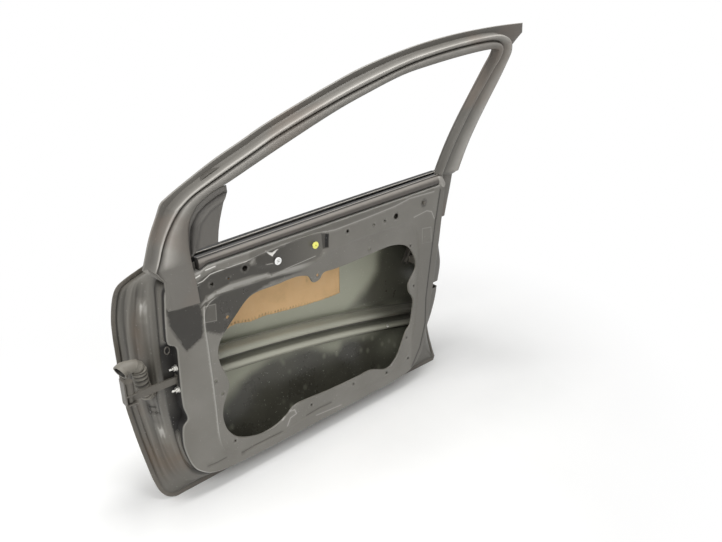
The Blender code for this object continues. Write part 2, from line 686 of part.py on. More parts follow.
def panel_rows():
    """Rows of the inner panel from the trim edge out to the hem."""
    hem, ledge, shoulder, trim = station_curves()
    rows = {"trim": [], "round": [], "wall": [], "shoulder": [], "ledge": [],
            "flange": [], "edge": []}
    inner = hem_inset(hem, FLANGE_WIDTH)
    outer = hem_inset(hem, FLANGE_INSET)
    drop = SKIN_T + SHEET_GAP + PANEL_T
    for i, (x, z) in enumerate(trim):
        sx, sy, sz = shoulder[i]
        away = Vector((sx - x, sz - z)).normalized()
        rows["trim"].append((x, 0.0, z))
        rows["round"].append((x + away.x * STEP_ROUND, STEP_ROUND, z + away.y * STEP_ROUND))
        rows["wall"].append((x + away.x * WALL_LEAN, sy - STEP_ROUND, z + away.y * WALL_LEAN))
        rows["shoulder"].append(shoulder[i])
        rows["ledge"].append(ledge[i])
        ix, iz = inner[i]
        ox, oz = outer[i]
        rows["flange"].append((ix, skin_y(ix, iz) - drop, iz))
        rows["edge"].append((ox, skin_y(ox, oz) - drop, oz))
    return rows


def hinge_seat_frame(height):
    """Centre and normal of a hinge seat on the sloping hinge face."""
    rows = panel_rows()
    index = min(range(len(rows["ledge"]) // 2), key=lambda i: abs(rows["ledge"][i][2] - height))
    shoulder = Vector(rows["shoulder"][index])
    flange = Vector(rows["flange"][index])
    along = flange - shoulder
    along.z = 0.0
    normal = Vector((-along.y, along.x, 0.0)).normalized()
    ledge = Vector(rows["ledge"][index])
    ledge.z = height
    return ledge + normal * SEAT_PROUD, normal


def seat_block(name, height, clearance):
    """Block whose outer face is a hinge seat; clearance makes a larger tool."""
    centre, normal = hinge_seat_frame(height)
    size = (SEAT_WIDTH + 2 * clearance, SEAT_DEEP + 2 * clearance, SEAT_HEIGHT + 2 * clearance)
    turn = Vector((0, 1, 0)).rotation_difference(normal).to_matrix().to_4x4()
    return block_mesh(name, centre - normal * SEAT_DEEP / 2, size, turn)


def make_inner_panel(model):
    """Pressed inner panel: trim face, opening, walls, ledges and hem flange."""
    rows = panel_rows()
    bm = bmesh.new()
    trim = [(p[0], p[2]) for p in rows["trim"]]
    count = 12
    first_x, last_x = trim[0][0], trim[-1][0]
    top = [(last_x + (first_x - last_x) * i / count) for i in range(1, count)]
    edge = trim + [(x, fold_z(x)) for x in top]
    opening = smooth_loop(OPENING, 2)
    field = smooth_loop(FIELD, 2)
    floor = inset(field, RECESS_WALL)
    outlines = [edge, field, floor, opening]
    low = (len(edge) + len(field), len(edge) + len(field) + len(floor) + len(opening))
    high = []
    for corners in PADS:
        foot = list(corners)
        top_line = inset(foot, PAD_SLOPE)
        start = sum(len(loop) for loop in outlines) + len(foot)
        high.append((start, start + len(top_line)))
        outlines += [foot, top_line]

    def depth(source, x, z):
        if any(first <= source < last for first, last in high):
            return -PAD_RISE
        return TRIM_RECESS if low[0] <= source < low[1] else 0.0

    rim = add_pressed(bm, outlines, depth, holes=[opening])
    grid = [rim[:len(trim)]]
    for key in ("round", "wall", "shoulder", "ledge", "flange", "edge"):
        grid.append([bm.verts.new(p) for p in rows[key]])
    for a, b in zip(grid, grid[1:]):
        for i in range(len(a) - 1):
            bm.faces.new((a[i], a[i + 1], b[i + 1], b[i]))
    belt = [rim[len(trim) - 1]] + rim[len(trim):] + [rim[0]]
    for dy, dz in ((STEP_ROUND, 0.001), (BELT_FLANGE_Y, 0.003), (BELT_FLANGE_Y, BELT_FLANGE_RISE)):
        line = [min(v.co.x, BELT_FLANGE_END) if dz == BELT_FLANGE_RISE else v.co.x for v in belt]
        above = [bm.verts.new((x, dy, fold_z(x) + dz)) for x in line]
        start = belt if dy == STEP_ROUND else previous
        for i in range(len(above) - 1):
            bm.faces.new((start[i], start[i + 1], above[i + 1], above[i]))
        previous = above
    mesh = face_towards(mesh_from("inner_panel", bm, 30.0), Vector((0, -1, 0)))
    piece = model.add("inner_panel", mesh, model.material(*PAINT))
    solidify(piece, PANEL_T, -1.0)
    for name, height in HINGE_SEATS:
        cut(piece, model.cutter(name, seat_block(name, height, 0.0)), "UNION")
    tool = bmesh.new()
    for x, z, radius in TRIM_HOLES:
        add_cylinder(tool, (x, 0.0, z), (0, 1, 0), radius, 0.02, 12)
    cut(piece, model.cutter("trim_hole_tool", mesh_from("trim_hole_tool", tool)))
    x, z, width, height = TRIM_SLOT
    slot = block_mesh("trim_slot_tool", (x, 0.0, z), (width, 0.02, height))
    cut(piece, model.cutter("trim_slot_tool", slot))
    slot = block_mesh("check_slot_tool", (POCKET_X, ARM_Y, ARM_Z),
                      (0.02, ARM_T + 2 * SLOT_GAP, ARM_HEIGHT + 2 * SLOT_GAP))
    cut(piece, model.cutter("check_slot_tool", slot))
    return piece


def make_outer_skin(model):
    """Outer skin with its hem, belt flange and handle dish."""
    hem, _, _, _ = station_curves()
    inner = hem_inset(hem, FLANGE_WIDTH)
    half = SKIN_T / 2
    stack = 2 * SHEET_GAP + PANEL_T + SKIN_T
    bm = bmesh.new()
    first_x, last_x = inner[0][0], inner[-1][0]
    count = 12
    top = [last_x + (first_x - last_x) * i / count for i in range(1, count)]
    edge = inner + [(x, shoulder_z(x) - 0.006) for x in top]
    levels = [0.035 * k for k in range(1, 19)]
    extra = []
    for z in levels:
        for k in range(1, 9):
            point = (1.1 * k / 9, z)
            if inside(point, inset(edge, 0.012)):
                extra.append(point)

    hx, hz = HANDLE_AT
    dishes = [[(hx + HANDLE_SIZE[0] * k * math.cos(a), hz + HANDLE_SIZE[1] * k * math.sin(a))
               for a in (2 * math.pi * i / HANDLE_SIDES for i in range(HANDLE_SIDES))]
              for k in (1.0, 0.8, 0.55)]
    extra = [p for p in extra if not inside(p, dishes[0])]
    drops = (0.0, HANDLE_RIM, HANDLE_DEEP)

    def depth(source, x, z):
        drop = 0.0
        for k, first in enumerate(len(edge) + HANDLE_SIDES * n for n in range(3)):
            if first <= source < first + HANDLE_SIDES:
                drop = drops[k]
        flat = skin_y(x, z) if drop < HANDLE_DEEP else skin_y(hx, hz)
        return flat - half - drop

    rim = add_pressed(bm, [edge] + dishes, depth, extra)
    ring = [rim[:len(inner)]]
    turn = 0.0016
    for distance, drop in ((turn, 0.0), (0.0, stack / 2), (turn, stack), (HEM_RETURN, stack)):
        line = hem_inset(hem, distance)
        ring.append([bm.verts.new((x, skin_y(x, z) - half - drop, z)) for x, z in line])
    for a, b in zip(ring, ring[1:]):
        for i in range(len(a) - 1):
            bm.faces.new((a[i], a[i + 1], b[i + 1], b[i]))
    belt = [rim[len(inner) - 1]] + rim[len(inner):] + [rim[0]]
    previous = belt
    for dy, dz, share in ((0.005, -0.001, 0.97), (0.016, 0.001, BELT_SHARE),
                          (SKIN_FLANGE, -0.003, BELT_SHARE), (SKIN_FLANGE, -0.016, BELT_SHARE)):
        above = []
        for v in belt:
            x = MID_X + (v.co.x - MID_X) * share
            above.append(bm.verts.new((x, skin_y(x, shoulder_z(x)) - half - dy, shoulder_z(x) + dz)))
        for i in range(len(above) - 1):
            bm.faces.new((previous[i], previous[i + 1], above[i + 1], above[i]))
        previous = above
    mesh = face_towards(mesh_from("outer_skin", bm, 40.0), Vector((0, 1, 0)))
    piece = model.add("outer_skin", mesh, model.material(*PRIMER))
    solidify(piece, SKIN_T, 0.0, even=False)
    return piece


def frame_outlines():
    """The frame's four outlines with matching in-between stations."""
    lip = smooth(LIP, FRAME_STEPS, LIP_CORNERS)
    band = smooth(BAND, FRAME_STEPS, LEG_BREAKS)
    groove = smooth(GROOVE, FRAME_STEPS, LEG_BREAKS)
    window = smooth(WINDOW, FRAME_STEPS, LEG_BREAKS)
    return lip, band, groove, window


def frame_point(index, plan, depth):
    """Point of the frame's section; its legs flatten to sit on the panel."""
    station = index / FRAME_STEPS
    x, z = plan
    y = frame_y(z) + depth
    plate = -LEG_PLATE_T - SEAT + depth * LEG_PLATE_T / FRAME_DEPTH
    foot = LEG_FACE_Y + depth * (LEDGE_Y - 2 * SEAT - LEG_FACE_Y) / FRAME_DEPTH
    if station < 3:
        y += (plate - y) * min(3 - station, 1.0)
    if station > 29:
        y += (foot - y) * min(station - 29, 1.0)
    return (x, y, z)


def step_in(start, end, distance):
    """Point in plan that lies the distance from start, towards end."""
    return lerp(start, end, distance / math.dist(start, end))


def frame_section(lip, band, groove, window):
    """Ring of plan points and depths round the frame's section."""
    deep = step_in(window, lip, RUN_DEPTH)
    outer = step_in(window, lip, RUN_SETBACK)
    ridge = [(lerp(band, groove, share), depth) for share, depth in RIDGE_SECTION]
    bead = [(lerp(groove, window, share), depth) for share, depth in BEAD_SECTION]
    return [(lip, LIP_DEPTH), (band, BAND_DEPTH)] + ridge + bead + [
        (window, RUN_BOTTOM), (deep, RUN_BOTTOM), (deep, RUN_TOP), (outer, RUN_TOP),
        (outer, BACK_DEPTH), (lip, FRAME_DEPTH),
    ]


def make_window_frame(model):
    """Window frame: front leg, roof rail, pointed rear corner and pillar."""
    rows = []
    for i, (lip, band, groove, window) in enumerate(zip(*frame_outlines())):
        rows.append([frame_point(i, p, d) for p, d in frame_section(lip, band, groove, window)])
    mesh = grid_mesh("window_frame", rows, closed_rows=True, caps=True, smooth_angle=30.0)
    return model.add("window_frame", mesh, model.material(*PAINT))


def make_glass_run(model):
    """Rubber run in the frame's groove, from the mirror corner to the belt."""
    lip, _, _, window = frame_outlines()
    low, high = RUN_BOTTOM + SEAT, RUN_TOP - SEAT
    rows = []
    for i in range(RUN_FIRST * FRAME_STEPS, RUN_LAST * FRAME_STEPS + 1):
        mouth, outer, back, deep = (
            step_in(window[i], lip[i], d)
            for d in (0.001, RUN_SETBACK + 0.001, RUN_DEPTH - 0.003, RUN_DEPTH - 0.001))
        ring = ((mouth, low), (deep, low), (deep, high), (outer, high),
                (outer, high - RUN_WALL), (back, high - RUN_WALL), (back, low + RUN_WALL),
                (mouth, low + RUN_WALL))
        rows.append([(p[0], frame_y(p[1]) + d, p[1]) for p, d in ring])
    mesh = grid_mesh("glass_run", rows, closed_rows=True, caps=True)
    return model.add("glass_run", mesh, model.material(*RUBBER))


def belt_loft(name, section, reach, closed=True):
    """Loft along the belt; section(x) gives the ring's (y, z) at each x."""
    rows = []
    for i in range(BELT_STEPS + 1):
        x = reach[0] + (reach[1] - reach[0]) * i / BELT_STEPS
        rows.append([(x, y, z) for y, z in section(x)])
    return grid_mesh(name, rows, closed_rows=closed, caps=closed)


def make_belt(model):
    """Rails and strips on both sides of the glass slot."""
    def bar(x):
        low, high = fold_z(x) + BAR_RISE, bar_top_z(x)
        mid, back = (low + high) / 2, BELT_FLANGE_Y - SEAT
        return ((back, low), (BAR_LIP, low), (2 * BAR_BULGE, low + BAR_ROUND), (-BAR_BULGE, mid),
                (BAR_BULGE, high - BAR_ROUND), (BAR_LIP - BAR_BULGE, high),
                (back - BAR_ROUND, high + BAR_BULGE), (back, high - BAR_BULGE))
    mesh = belt_loft("belt_strip_inner", bar, BAR_X)
    model.add("belt_strip_inner", mesh, model.material(*RUBBER))

    def rail_inner(x):
        base, y = fold_z(x), BELT_FLANGE_Y + PANEL_T + SEAT
        reach, knee, end = RAIL_FOOT
        section = [(y + away, base + rise) for away, rise in RAIL_INNER_SECTION]
        return section + [(PANEL_T + reach, base - knee), (PANEL_T + SEAT, base - end)]
    mesh = belt_loft("belt_rail_inner", rail_inner, RAIL_INNER_X, closed=False)
    rail = model.add("belt_rail_inner", face_towards(mesh, Vector((0, 1, 0))), model.material(*PAINT))
    solidify(rail, RAIL_T, 1.0, even=False)

    def rail_outer(x):
        top = shoulder_z(x)
        y = skin_y(x, top) - SKIN_FLANGE - SKIN_T - SEAT
        return [(y + away, top + rise) for away, rise in RAIL_OUTER_SECTION]
    mesh = belt_loft("belt_rail_outer", rail_outer, RAIL_OUTER_X, closed=False)
    rail = model.add("belt_rail_outer", face_towards(mesh, Vector((0, -1, 0))), model.material(*PAINT))
    solidify(rail, RAIL_T, 1.0, even=False)

    def strip_outer(x):
        top = shoulder_z(x)
        y = skin_y(x, top) - SKIN_FLANGE - SKIN_T - RAIL_T - 3 * SEAT
        return [(y - away, top + rise) for away, rise in STRIP_SECTION]
    mesh = belt_loft("belt_strip_outer", strip_outer, STRIP_X)
    model.add("belt_strip_outer", mesh, model.material(*RUBBER))


def shift_line(line, distance):
    """Plan line moved to the right of its own direction by the distance."""
    return hem_inset(line, -distance)


def make_mirror_plate(model):
    """Corner plate between the frame's front leg and the window."""
    _, _, _, window = frame_outlines()
    first, last = 3 * FRAME_STEPS + 1, RUN_FIRST * FRAME_STEPS - 1
    left = shift_line(window[first:last + 1], MIRROR_GAP)
    edge = left + [(0.236, 0.797), (0.239, 0.780), (0.234, 0.757), (0.228, 0.714), (0.221, 0.664)]
    channel = inset(edge, 0.010)
    field = inset(edge, 0.014)
    first_low, first_high = len(edge), len(edge) + len(channel)

    def depth(source, x, z):
        if source >= first_high:
            return frame_y(z) + 0.010
        if source >= first_low:
            return frame_y(z) + 0.013
        return frame_y(z) + 0.009

    mesh = pressed_sheet("mirror_plate", [edge, channel, field], depth)
    plate = model.add("mirror_plate", face_towards(mesh, Vector((0, -1, 0))),
                      model.material(*BLACK_PLASTIC))
    solidify(plate, MIRROR_T, -1.0, even=False)


def beam_top(x):
    """Height of the side beam's upper flange."""
    t = (x - BEAM_FROM) / BEAM_SPAN
    return BEAM_TOP_Z - BEAM_FALL * t + BEAM_CROWN * t * (1 - t)


def make_side_beam(model):
    """Pressed side impact beam with two ridges, following the skin."""
    rows = []
    for i in range(BEAM_COUNT + 1):
        x = BEAM_X[0] + (BEAM_X[1] - BEAM_X[0]) * i / BEAM_COUNT
        row = []
        for drop, away in BEAM_SECTION:
            z = beam_top(x) - drop
            row.append((x, skin_y(x, z) - SKIN_T - away, z))
        rows.append(row)
    mesh = face_towards(grid_mesh("side_beam", rows, smooth_angle=25.0), Vector((0, -1, 0)))
    beam = model.add("side_beam", mesh, model.material(*PRIMER))
    solidify(beam, BEAM_T, 0.0, even=False)
    groove = sum(BEAM_SECTION[i][0] for i in (4, 5)) / 2
    depth = BEAM_SECTION[4][1]
    for number, x in enumerate(MASTIC_X, 1):
        z = beam_top(x) - groove
        outer, inner = SKIN_T + 2 * MASTIC_GAP, SKIN_T + depth - BEAM_T / 2 - MASTIC_GAP
        y = skin_y(x, z) - (outer + inner) / 2
        drop = bmesh.new()
        add_cylinder(drop, (x, y, z), (0, 1, 0), MASTIC_R, inner - outer, 12)
        name = f"mastic_drop_{number}"
        model.add(name, mesh_from(name, drop), model.material(*BLACK_PLASTIC))


def panel_patch(rows, first, last, shares, standoff=PATCH_STANDOFF):
    """Rows of points that follow the inner panel's inside at a standoff.

    shares runs from 0 at the shoulder to 1 at the ledge and 2 at the flange.
    """
    result = []
    for i in range(round(first * STEPS), round(last * STEPS) + 1):
        corner = [Vector(rows[key][i]) for key in ("shoulder", "ledge", "flange")]
        rear = corner[1].x > MID_X
        line = []
        for share in shares:
            k = 0 if share < 1 else 1
            a, b = corner[k], corner[k + 1]
            along = b - a
            normal = Vector((along.y, -along.x, 0.0)).normalized()
            if rear:
                normal = Vector((-abs(normal.x), abs(normal.y), 0.0)).normalized()
            else:
                normal = Vector((abs(normal.x), abs(normal.y), 0.0))
            line.append(a.lerp(b, share - k) + normal * standoff)
        result.append(line)
    return result


def add_patch(model, name, rows, thickness=RAIL_T):
    """Reinforcement sheet made from patch rows."""
    mesh = grid_mesh(name, rows)
    piece = model.add(name, mesh, model.material(*DARK_STEEL))
    solidify(piece, thickness, 0.0, even=False)
    return piece


def make_reinforcements(model, notch):
    """Sheets spot welded inside the hinge and latch faces, and beam brackets."""
    rows = panel_rows()
    for (name, first, last), (tool, height) in zip(HINGE_PATCHES, HINGE_SEATS):
        patch = add_patch(model, name, panel_patch(rows, first, last, (0.45, 0.95, 1.35, 1.75)))
        window = seat_block(tool + "_window", height, SEAT_CLEARANCE)
        cut(patch, model.cutter(tool + "_window", window))
    latch = add_patch(model, "latch_reinforcement",
                      panel_patch(rows, *LATCH_PATCH, (1.15, 1.45, 1.75), LATCH_STANDOFF))
    cut(latch, notch)
    reach = SKIN_T + BEAM_SECTION[0][1] - BEAM_T / 2 - SEAT - RAIL_T / 2
    for name, first, last, near, far in BEAM_PATCHES:
        lines = []
        for line in panel_patch(rows, first, last, (1.25, 1.75)):
            z = line[1].z
            for x in (near, far):
                line.append(Vector((x, skin_y(x, z) - reach, z)))
            lines.append(line)
        add_patch(model, name, lines)


def swept_mesh(name, path, radii, sides=14, inner=None):
    """Round tube along a path; inner gives a blind bore's radius and depth."""
    path = [Vector(p) for p in path]
    rows = []
    side = None
    for i, point in enumerate(path):
        ahead = path[1] - path[0]
        if i > 1:
            ahead = path[min(i + 1, len(path) - 1)] - path[i - 1]
        ahead.normalize()
        if side is None:
            side = ahead.orthogonal().normalized()
        side = (side - ahead * side.dot(ahead)).normalized()
        up = ahead.cross(side)
        rows.append([point + radii[i] * (side * math.cos(a) + up * math.sin(a))
                     for a in (2 * math.pi * k / sides for k in range(sides))])
        last = (point, ahead, side, up)
    if inner:
        point, ahead, side, up = last
        radius, depth = inner
        for back in (0.0, depth):
            centre = point - ahead * back
            rows.append([centre + radius * (side * math.cos(a) + up * math.sin(a))
                         for a in (2 * math.pi * k / sides for k in range(sides))])
    return grid_mesh(name, rows, closed_rows=True, caps=True, smooth_angle=40.0)


def make_wiring_boot(model):
    """Corrugated boot on the hinge face, with its elbow and plug."""
    rows = panel_rows()
    index = min(range(len(rows["ledge"]) // 2), key=lambda i: abs(rows["ledge"][i][2] - BOOT_SEAT_Z))
    shoulder, ledge = Vector(rows["shoulder"][index]), Vector(rows["ledge"][index])
    along = ledge - shoulder
    normal = Vector((-along.y, along.x, 0.0)).normalized()
    seat = shoulder.lerp(ledge, BOOT_SEAT_SHARE)
    seat.z = BOOT_SEAT_Z
    start = seat + normal * BOOT_GAP
    knee = start + normal * BOOT_KNEE + Vector((0.0, 0.0, BOOT_KNEE_RISE))
    spine = [tuple(start + normal * BOOT_FLANGE_T), tuple(knee)] + list(BOOT_SPINE)
    path = [Vector(p) for p in [tuple(start)] + smooth(spine, 6)]
    radii = []
    for i, point in enumerate(path):
        ahead = (path[min(i + 1, len(path) - 1)] - path[max(i - 1, 0)]).normalized()
        lean = max(ahead.cross(normal).length, 0.1)
        limit = ((point - seat).dot(normal) - BOOT_GAP) / lean
        radii.append(min(BOOT_RIDGE if i % 3 == 0 else BOOT_VALLEY, limit))
    radii[0] = radii[1] = BOOT_FLANGE_R
    radii[2] = BOOT_NECK_R
    radii[-1] = BOOT_VALLEY
    model.add("wiring_boot", swept_mesh("wiring_boot", path, radii), model.material(*RUBBER))
    ahead = (path[-1] - path[-2]).normalized()
    begin = path[-1] + ahead * 2 * SEAT
    elbow = [tuple(begin)] + smooth([tuple(begin + ahead * 0.004)] + list(ELBOW_SPINE), 3)
    radii = [ELBOW_R] * len(elbow)
    radii[0] = radii[1] = radii[2] = BOOT_NECK_R
    radii[-2] = radii[-1] = ELBOW_RIM_R
    mesh = swept_mesh("wiring_elbow", elbow, radii, inner=(PLUG_R + 0.001, PLUG_DEEP + SEAT))
    model.add("wiring_elbow", mesh, model.material(*RUBBER))
    tip, before = Vector(elbow[-1]), Vector(elbow[-2])
    axis = (before - tip).normalized()
    plug = turned_mesh("wiring_plug", ((0.003, PLUG_R - 0.002), (0.005, PLUG_R), (PLUG_DEEP, PLUG_R)),
                       tip, axis, 14)
    model.add("wiring_plug", plug, model.material(*BLACK_PLASTIC))


def make_door_check(model):
    """Check housing, bolts, arm, end bracket and its pin."""
    depth, width, height = CHECK_BOX
    front = POCKET_X + PANEL_T + CHECK_STANDOFF
    centre = (front + depth / 2, 0.002 + width / 2, ARM_Z)
    housing = model.add("check_housing", block_mesh("check_housing", centre, CHECK_BOX, bevel=0.003),
                        model.material(*DARK_STEEL))
    bore = block_mesh("check_bore_tool", centre, (2 * depth, ARM_T + 2 * ARM_GAP, ARM_HEIGHT + 2 * ARM_GAP))
    cut(housing, model.cutter("check_bore_tool", bore))
    holes = bmesh.new()
    for z in CHECK_BOLT_Z:
        add_cylinder(holes, (POCKET_X + 0.003, CHECK_BOLT_Y, z), (1, 0, 0), BOLT_R + 0.0005, 0.040, 12)
    hole_tool = model.cutter("check_bolt_tool", mesh_from("check_bolt_tool", holes))
    cut(housing, hole_tool)
    rise = (CHECK_BOLT_Y + NUT_FLANGE_R - STEP_ROUND) / (POCKET_DEPTH - STEP_ROUND)
    lean = STEP_ROUND + (WALL_LEAN - STEP_ROUND) * rise
    inner_end = POCKET_X + 0.018
    seat = inner_end - (POCKET_X - lean - 2 * SEAT)
    for name, z in zip(("check_bolt_lower", "check_bolt_upper"), CHECK_BOLT_Z):
        profile = ((0.0, BOLT_R), (seat, BOLT_R), (seat, NUT_FLANGE_R), (seat + 0.0016, NUT_FLANGE_R),
                   (seat + 0.0017, 0.0068), (seat + 0.008, 0.0068), (seat + 0.009, BOLT_R),
                   (seat + 0.0155, BOLT_R), (seat + 0.0175, 0.0018))
        bolt = turned_mesh(name, profile, (inner_end, CHECK_BOLT_Y, z), (-1, 0, 0), 12)
        model.add(name, bolt, model.material(*ZINC))

    arm_pivot = model.pivot("check_slide", (ARM_FRONT_X, ARM_Y, ARM_Z))
    bm = bmesh.new()
    outline = [(ARM_FRONT_X + EYE_R * math.cos(a), ARM_Z + EYE_R * math.sin(a))
               for a in (math.pi / 2 + math.pi * k / 6 for k in range(7))]
    half = ARM_HEIGHT / 2
    outline += [(ARM_REAR_X - 0.012, ARM_Z - half), (ARM_REAR_X - 0.010, ARM_Z - half - 0.007),
                (ARM_REAR_X, ARM_Z - half - 0.007), (ARM_REAR_X, ARM_Z + half + 0.007),
                (ARM_REAR_X - 0.010, ARM_Z + half + 0.007), (ARM_REAR_X - 0.012, ARM_Z + half)]
    near = [bm.verts.new((x, ARM_Y - ARM_T / 2, z)) for x, z in outline]
    far = [bm.verts.new((x, ARM_Y + ARM_T / 2, z)) for x, z in outline]
    bm.faces.new(near)
    bm.faces.new(list(reversed(far)))
    for i in range(len(outline)):
        j = (i + 1) % len(outline)
        bm.faces.new((near[i], far[i], far[j], near[j]))
    arm = model.add("check_arm", mesh_from("check_arm", bm), model.material(*DARK_STEEL), arm_pivot)
    barrel = bmesh.new()
    add_cylinder(barrel, (ARM_FRONT_X, ARM_Y, ARM_Z), (0, 0, 1), EYE_BARREL_R, ARM_HEIGHT - 0.0005, 14)
    cut(arm, model.cutter("arm_barrel", mesh_from("arm_barrel", barrel)), "UNION")
    eye = bmesh.new()
    add_cylinder(eye, (ARM_FRONT_X, ARM_Y, ARM_Z), (0, 0, 1), PIN_R + SEAT, 0.05, 14)
    cut(arm, model.cutter("arm_eye_tool", mesh_from("arm_eye_tool", eye)))

    hinge_pivot = model.pivot("check_hinge", (ARM_FRONT_X, ARM_Y, ARM_Z))
    top, bottom = ARM_Z + half + 0.001, ARM_Z - half - 0.001
    path = [(ARM_FRONT_X + EAR_REACH, bottom - EAR_T), (ARM_FRONT_X - EAR_REACH, bottom - EAR_T),
            (ARM_FRONT_X - EAR_REACH, top + BRACKET_RISE),
            (ARM_FRONT_X - EAR_REACH + EAR_T, top + BRACKET_RISE),
            (ARM_FRONT_X - EAR_REACH + EAR_T, top + EAR_T), (ARM_FRONT_X + EAR_REACH, top + EAR_T),
            (ARM_FRONT_X + EAR_REACH, top), (ARM_FRONT_X - EAR_REACH + EAR_T, top),
            (ARM_FRONT_X - EAR_REACH + EAR_T, bottom), (ARM_FRONT_X + EAR_REACH, bottom)]
    bm = bmesh.new()
    near = [bm.verts.new((x, ARM_Y - BRACKET_HALF, z)) for x, z in path]
    far = [bm.verts.new((x, ARM_Y + BRACKET_HALF, z)) for x, z in path]
    bm.faces.new(near)
    bm.faces.new(list(reversed(far)))
    for i in range(len(path)):
        j = (i + 1) % len(path)
        bm.faces.new((near[i], far[i], far[j], near[j]))
    bracket = model.add("check_bracket", mesh_from("check_bracket", bm), model.material(*DARK_STEEL),
                        hinge_pivot)
    boss = bmesh.new()
    add_cylinder(boss, (ARM_FRONT_X, ARM_Y, top + EAR_T + 0.014), (0, 0, 1), 0.0115, 0.032, 14)
    cut(bracket, model.cutter("bracket_boss", mesh_from("bracket_boss", boss)), "UNION")
    bore = bmesh.new()
    add_cylinder(bore, (ARM_FRONT_X, ARM_Y, ARM_Z), (0, 0, 1), PIN_R + SEAT, 0.040, 14)
    cut(bracket, model.cutter("bracket_pin_tool", mesh_from("bracket_pin_tool", bore)))
    low = bottom - EAR_T - 0.003
    pin = turned_mesh("check_pin", ((0.0, PIN_R + 0.002), (0.0026, PIN_R + 0.002), (0.0027, PIN_R),
                                    (top + EAR_T - low + 0.002, PIN_R)),
                      (ARM_FRONT_X, ARM_Y, low), (0, 0, 1), 14)
    model.add("check_pin", pin, model.material(*ZINC), hinge_pivot)
    return hole_tool


def make_skin_pad(model):
    """Damping felt glued to the skin above the side beam."""
    rows = []
    for z in PAD_LEVELS:
        shift = 0.05 * (PAD_LEVELS[-1] - z)
        left, right = PAD_X[0] + shift, PAD_X[1] - 0.2 * (PAD_LEVELS[-1] - z)
        rows.append([(left + (right - left) * k / 6, 0.0, z) for k in range(7)])
    rows = [[(x, skin_y(x, z) - SKIN_T - PAD_GAP, z) for x, _, z in row] for row in rows]
    mesh = face_towards(grid_mesh("damping_pad", rows), Vector((0, -1, 0)))
    pad = model.add("damping_pad", mesh, model.material(*FELT))
    solidify(pad, PAD_T, 1.0, even=False)


def make_guide_channels(model):
    """Lower glass channels inside the door, with their feet on the panel."""
    for name, x_top, x_bottom, face, z_foot, trim_y in GUIDES:
        rows = []
        for k in range(7):
            t = k / 6
            z = GUIDE_Z[0] + (GUIDE_Z[1] - GUIDE_Z[0]) * t
            x, y = x_top + (x_bottom - x_top) * t, glass_y(z)
            half, wall, deep = GUIDE_HALF, GUIDE_WALL, GUIDE_DEEP
            ring = ((0, -half), (deep, -half), (deep, half), (0, half), (0, half - wall),
                    (deep - wall, half - wall), (deep - wall, -half + wall), (0, -half + wall))
            rows.append([(x + face * dx, y + dy, z) for dx, dy in ring])
        mesh = grid_mesh("guide_channel_" + name, rows, closed_rows=True, caps=True)
        model.add("guide_channel_" + name, mesh, model.material(*DARK_STEEL))
        z = z_foot
        t = (z - GUIDE_Z[0]) / (GUIDE_Z[1] - GUIDE_Z[0])
        x = x_top + (x_bottom - x_top) * t + face * GUIDE_DEEP / 2
        width, height = FOOT_SIZE
        near, far = trim_y + PANEL_T + SEAT, glass_y(z + height / 2) - GUIDE_HALF - SEAT
        foot = block_mesh("guide_foot_" + name, (x, (near + far) / 2, z), (width, far - near, height))
        model.add("guide_foot_" + name, foot, model.material(*DARK_STEEL))


def make_clips(model):
    """Trim clips, edge nut, plug and earth eyelet."""
    for name, x, z, colour in CLIPS:
        profile = ((0.0, 0.003), (0.0012, 0.0075), (0.003, 0.0075), (0.0045, 0.005), (0.0046, 0.002))
        head = turned_mesh(name, profile, (x, -SEAT, z), (0, -1, 0), 16)
        model.add(name, head, model.material(*colour))
    x, z = NUT_AT
    nut = turned_mesh("corner_nut", NUT_SECTION, (x, -SEAT, z), (0, -1, 0), NUT_SIDES)
    model.add("corner_nut", nut, model.material(*ZINC))
    bm = bmesh.new()
    rows = []
    for k in range(16):
        a = 2 * math.pi * k / 16
        rows.append([(EYELET_AT[0] + (EYELET_R + 0.0015 * math.cos(b)) * math.cos(a),
                      EYELET_AT[1] - 0.0018 + 0.0015 * math.sin(b),
                      EYELET_AT[2] + 1.5 * (EYELET_R + 0.0015 * math.cos(b)) * math.sin(a))
                     for b in (2 * math.pi * j / 6 for j in range(6))])
    ring = [[bm.verts.new(p) for p in row] for row in rows]
    for k in range(16):
        a, b = ring[k], ring[(k + 1) % 16]
        for j in range(6):
            i = (j + 1) % 6
            bm.faces.new((a[j], a[i], b[i], b[j]))
    mesh = mesh_from("earth_eyelet", bm)
    model.add("earth_eyelet", mesh, model.material(*ZINC))


def make_handle_plate(model):
    """Plate behind the handle dish of the skin."""
    x, z = HANDLE_AT
    y = skin_y(x, z) - HANDLE_DEEP - SKIN_T - SEAT - RAIL_T
    size = (HANDLE_PLATE[0], RAIL_T, HANDLE_PLATE[1])
    plate = block_mesh("handle_reinforcement", (x, y, z), size)
    model.add("handle_reinforcement", plate, model.material(*DARK_STEEL))


def build():
    """Make the whole door shell."""
    model = Model()
    panel = make_inner_panel(model)
    notch = model.cutter("latch_notch_tool", block_mesh(
        "latch_notch_tool", (NOTCH_X + NOTCH_REACH / 2, NOTCH_Y, NOTCH_Z),
        (NOTCH_REACH, NOTCH_DEEP, NOTCH_HEIGHT)))
    cut(panel, notch)
    make_outer_skin(model)
    make_window_frame(model)
    make_glass_run(model)
    make_belt(model)
    make_mirror_plate(model)
    make_side_beam(model)
    make_reinforcements(model, notch)
    make_wiring_boot(model)
    bolt_tool = make_door_check(model)
    cut(panel, bolt_tool)
    make_skin_pad(model)
    make_guide_channels(model)
    make_clips(model)
    make_handle_plate(model)
    bpy.context.view_layer.update()


build()
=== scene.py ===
import math

import bmesh
import bpy
import numpy as np
from mathutils import Matrix, Vector, noise
from mathutils.geometry import delaunay_2d_cdt


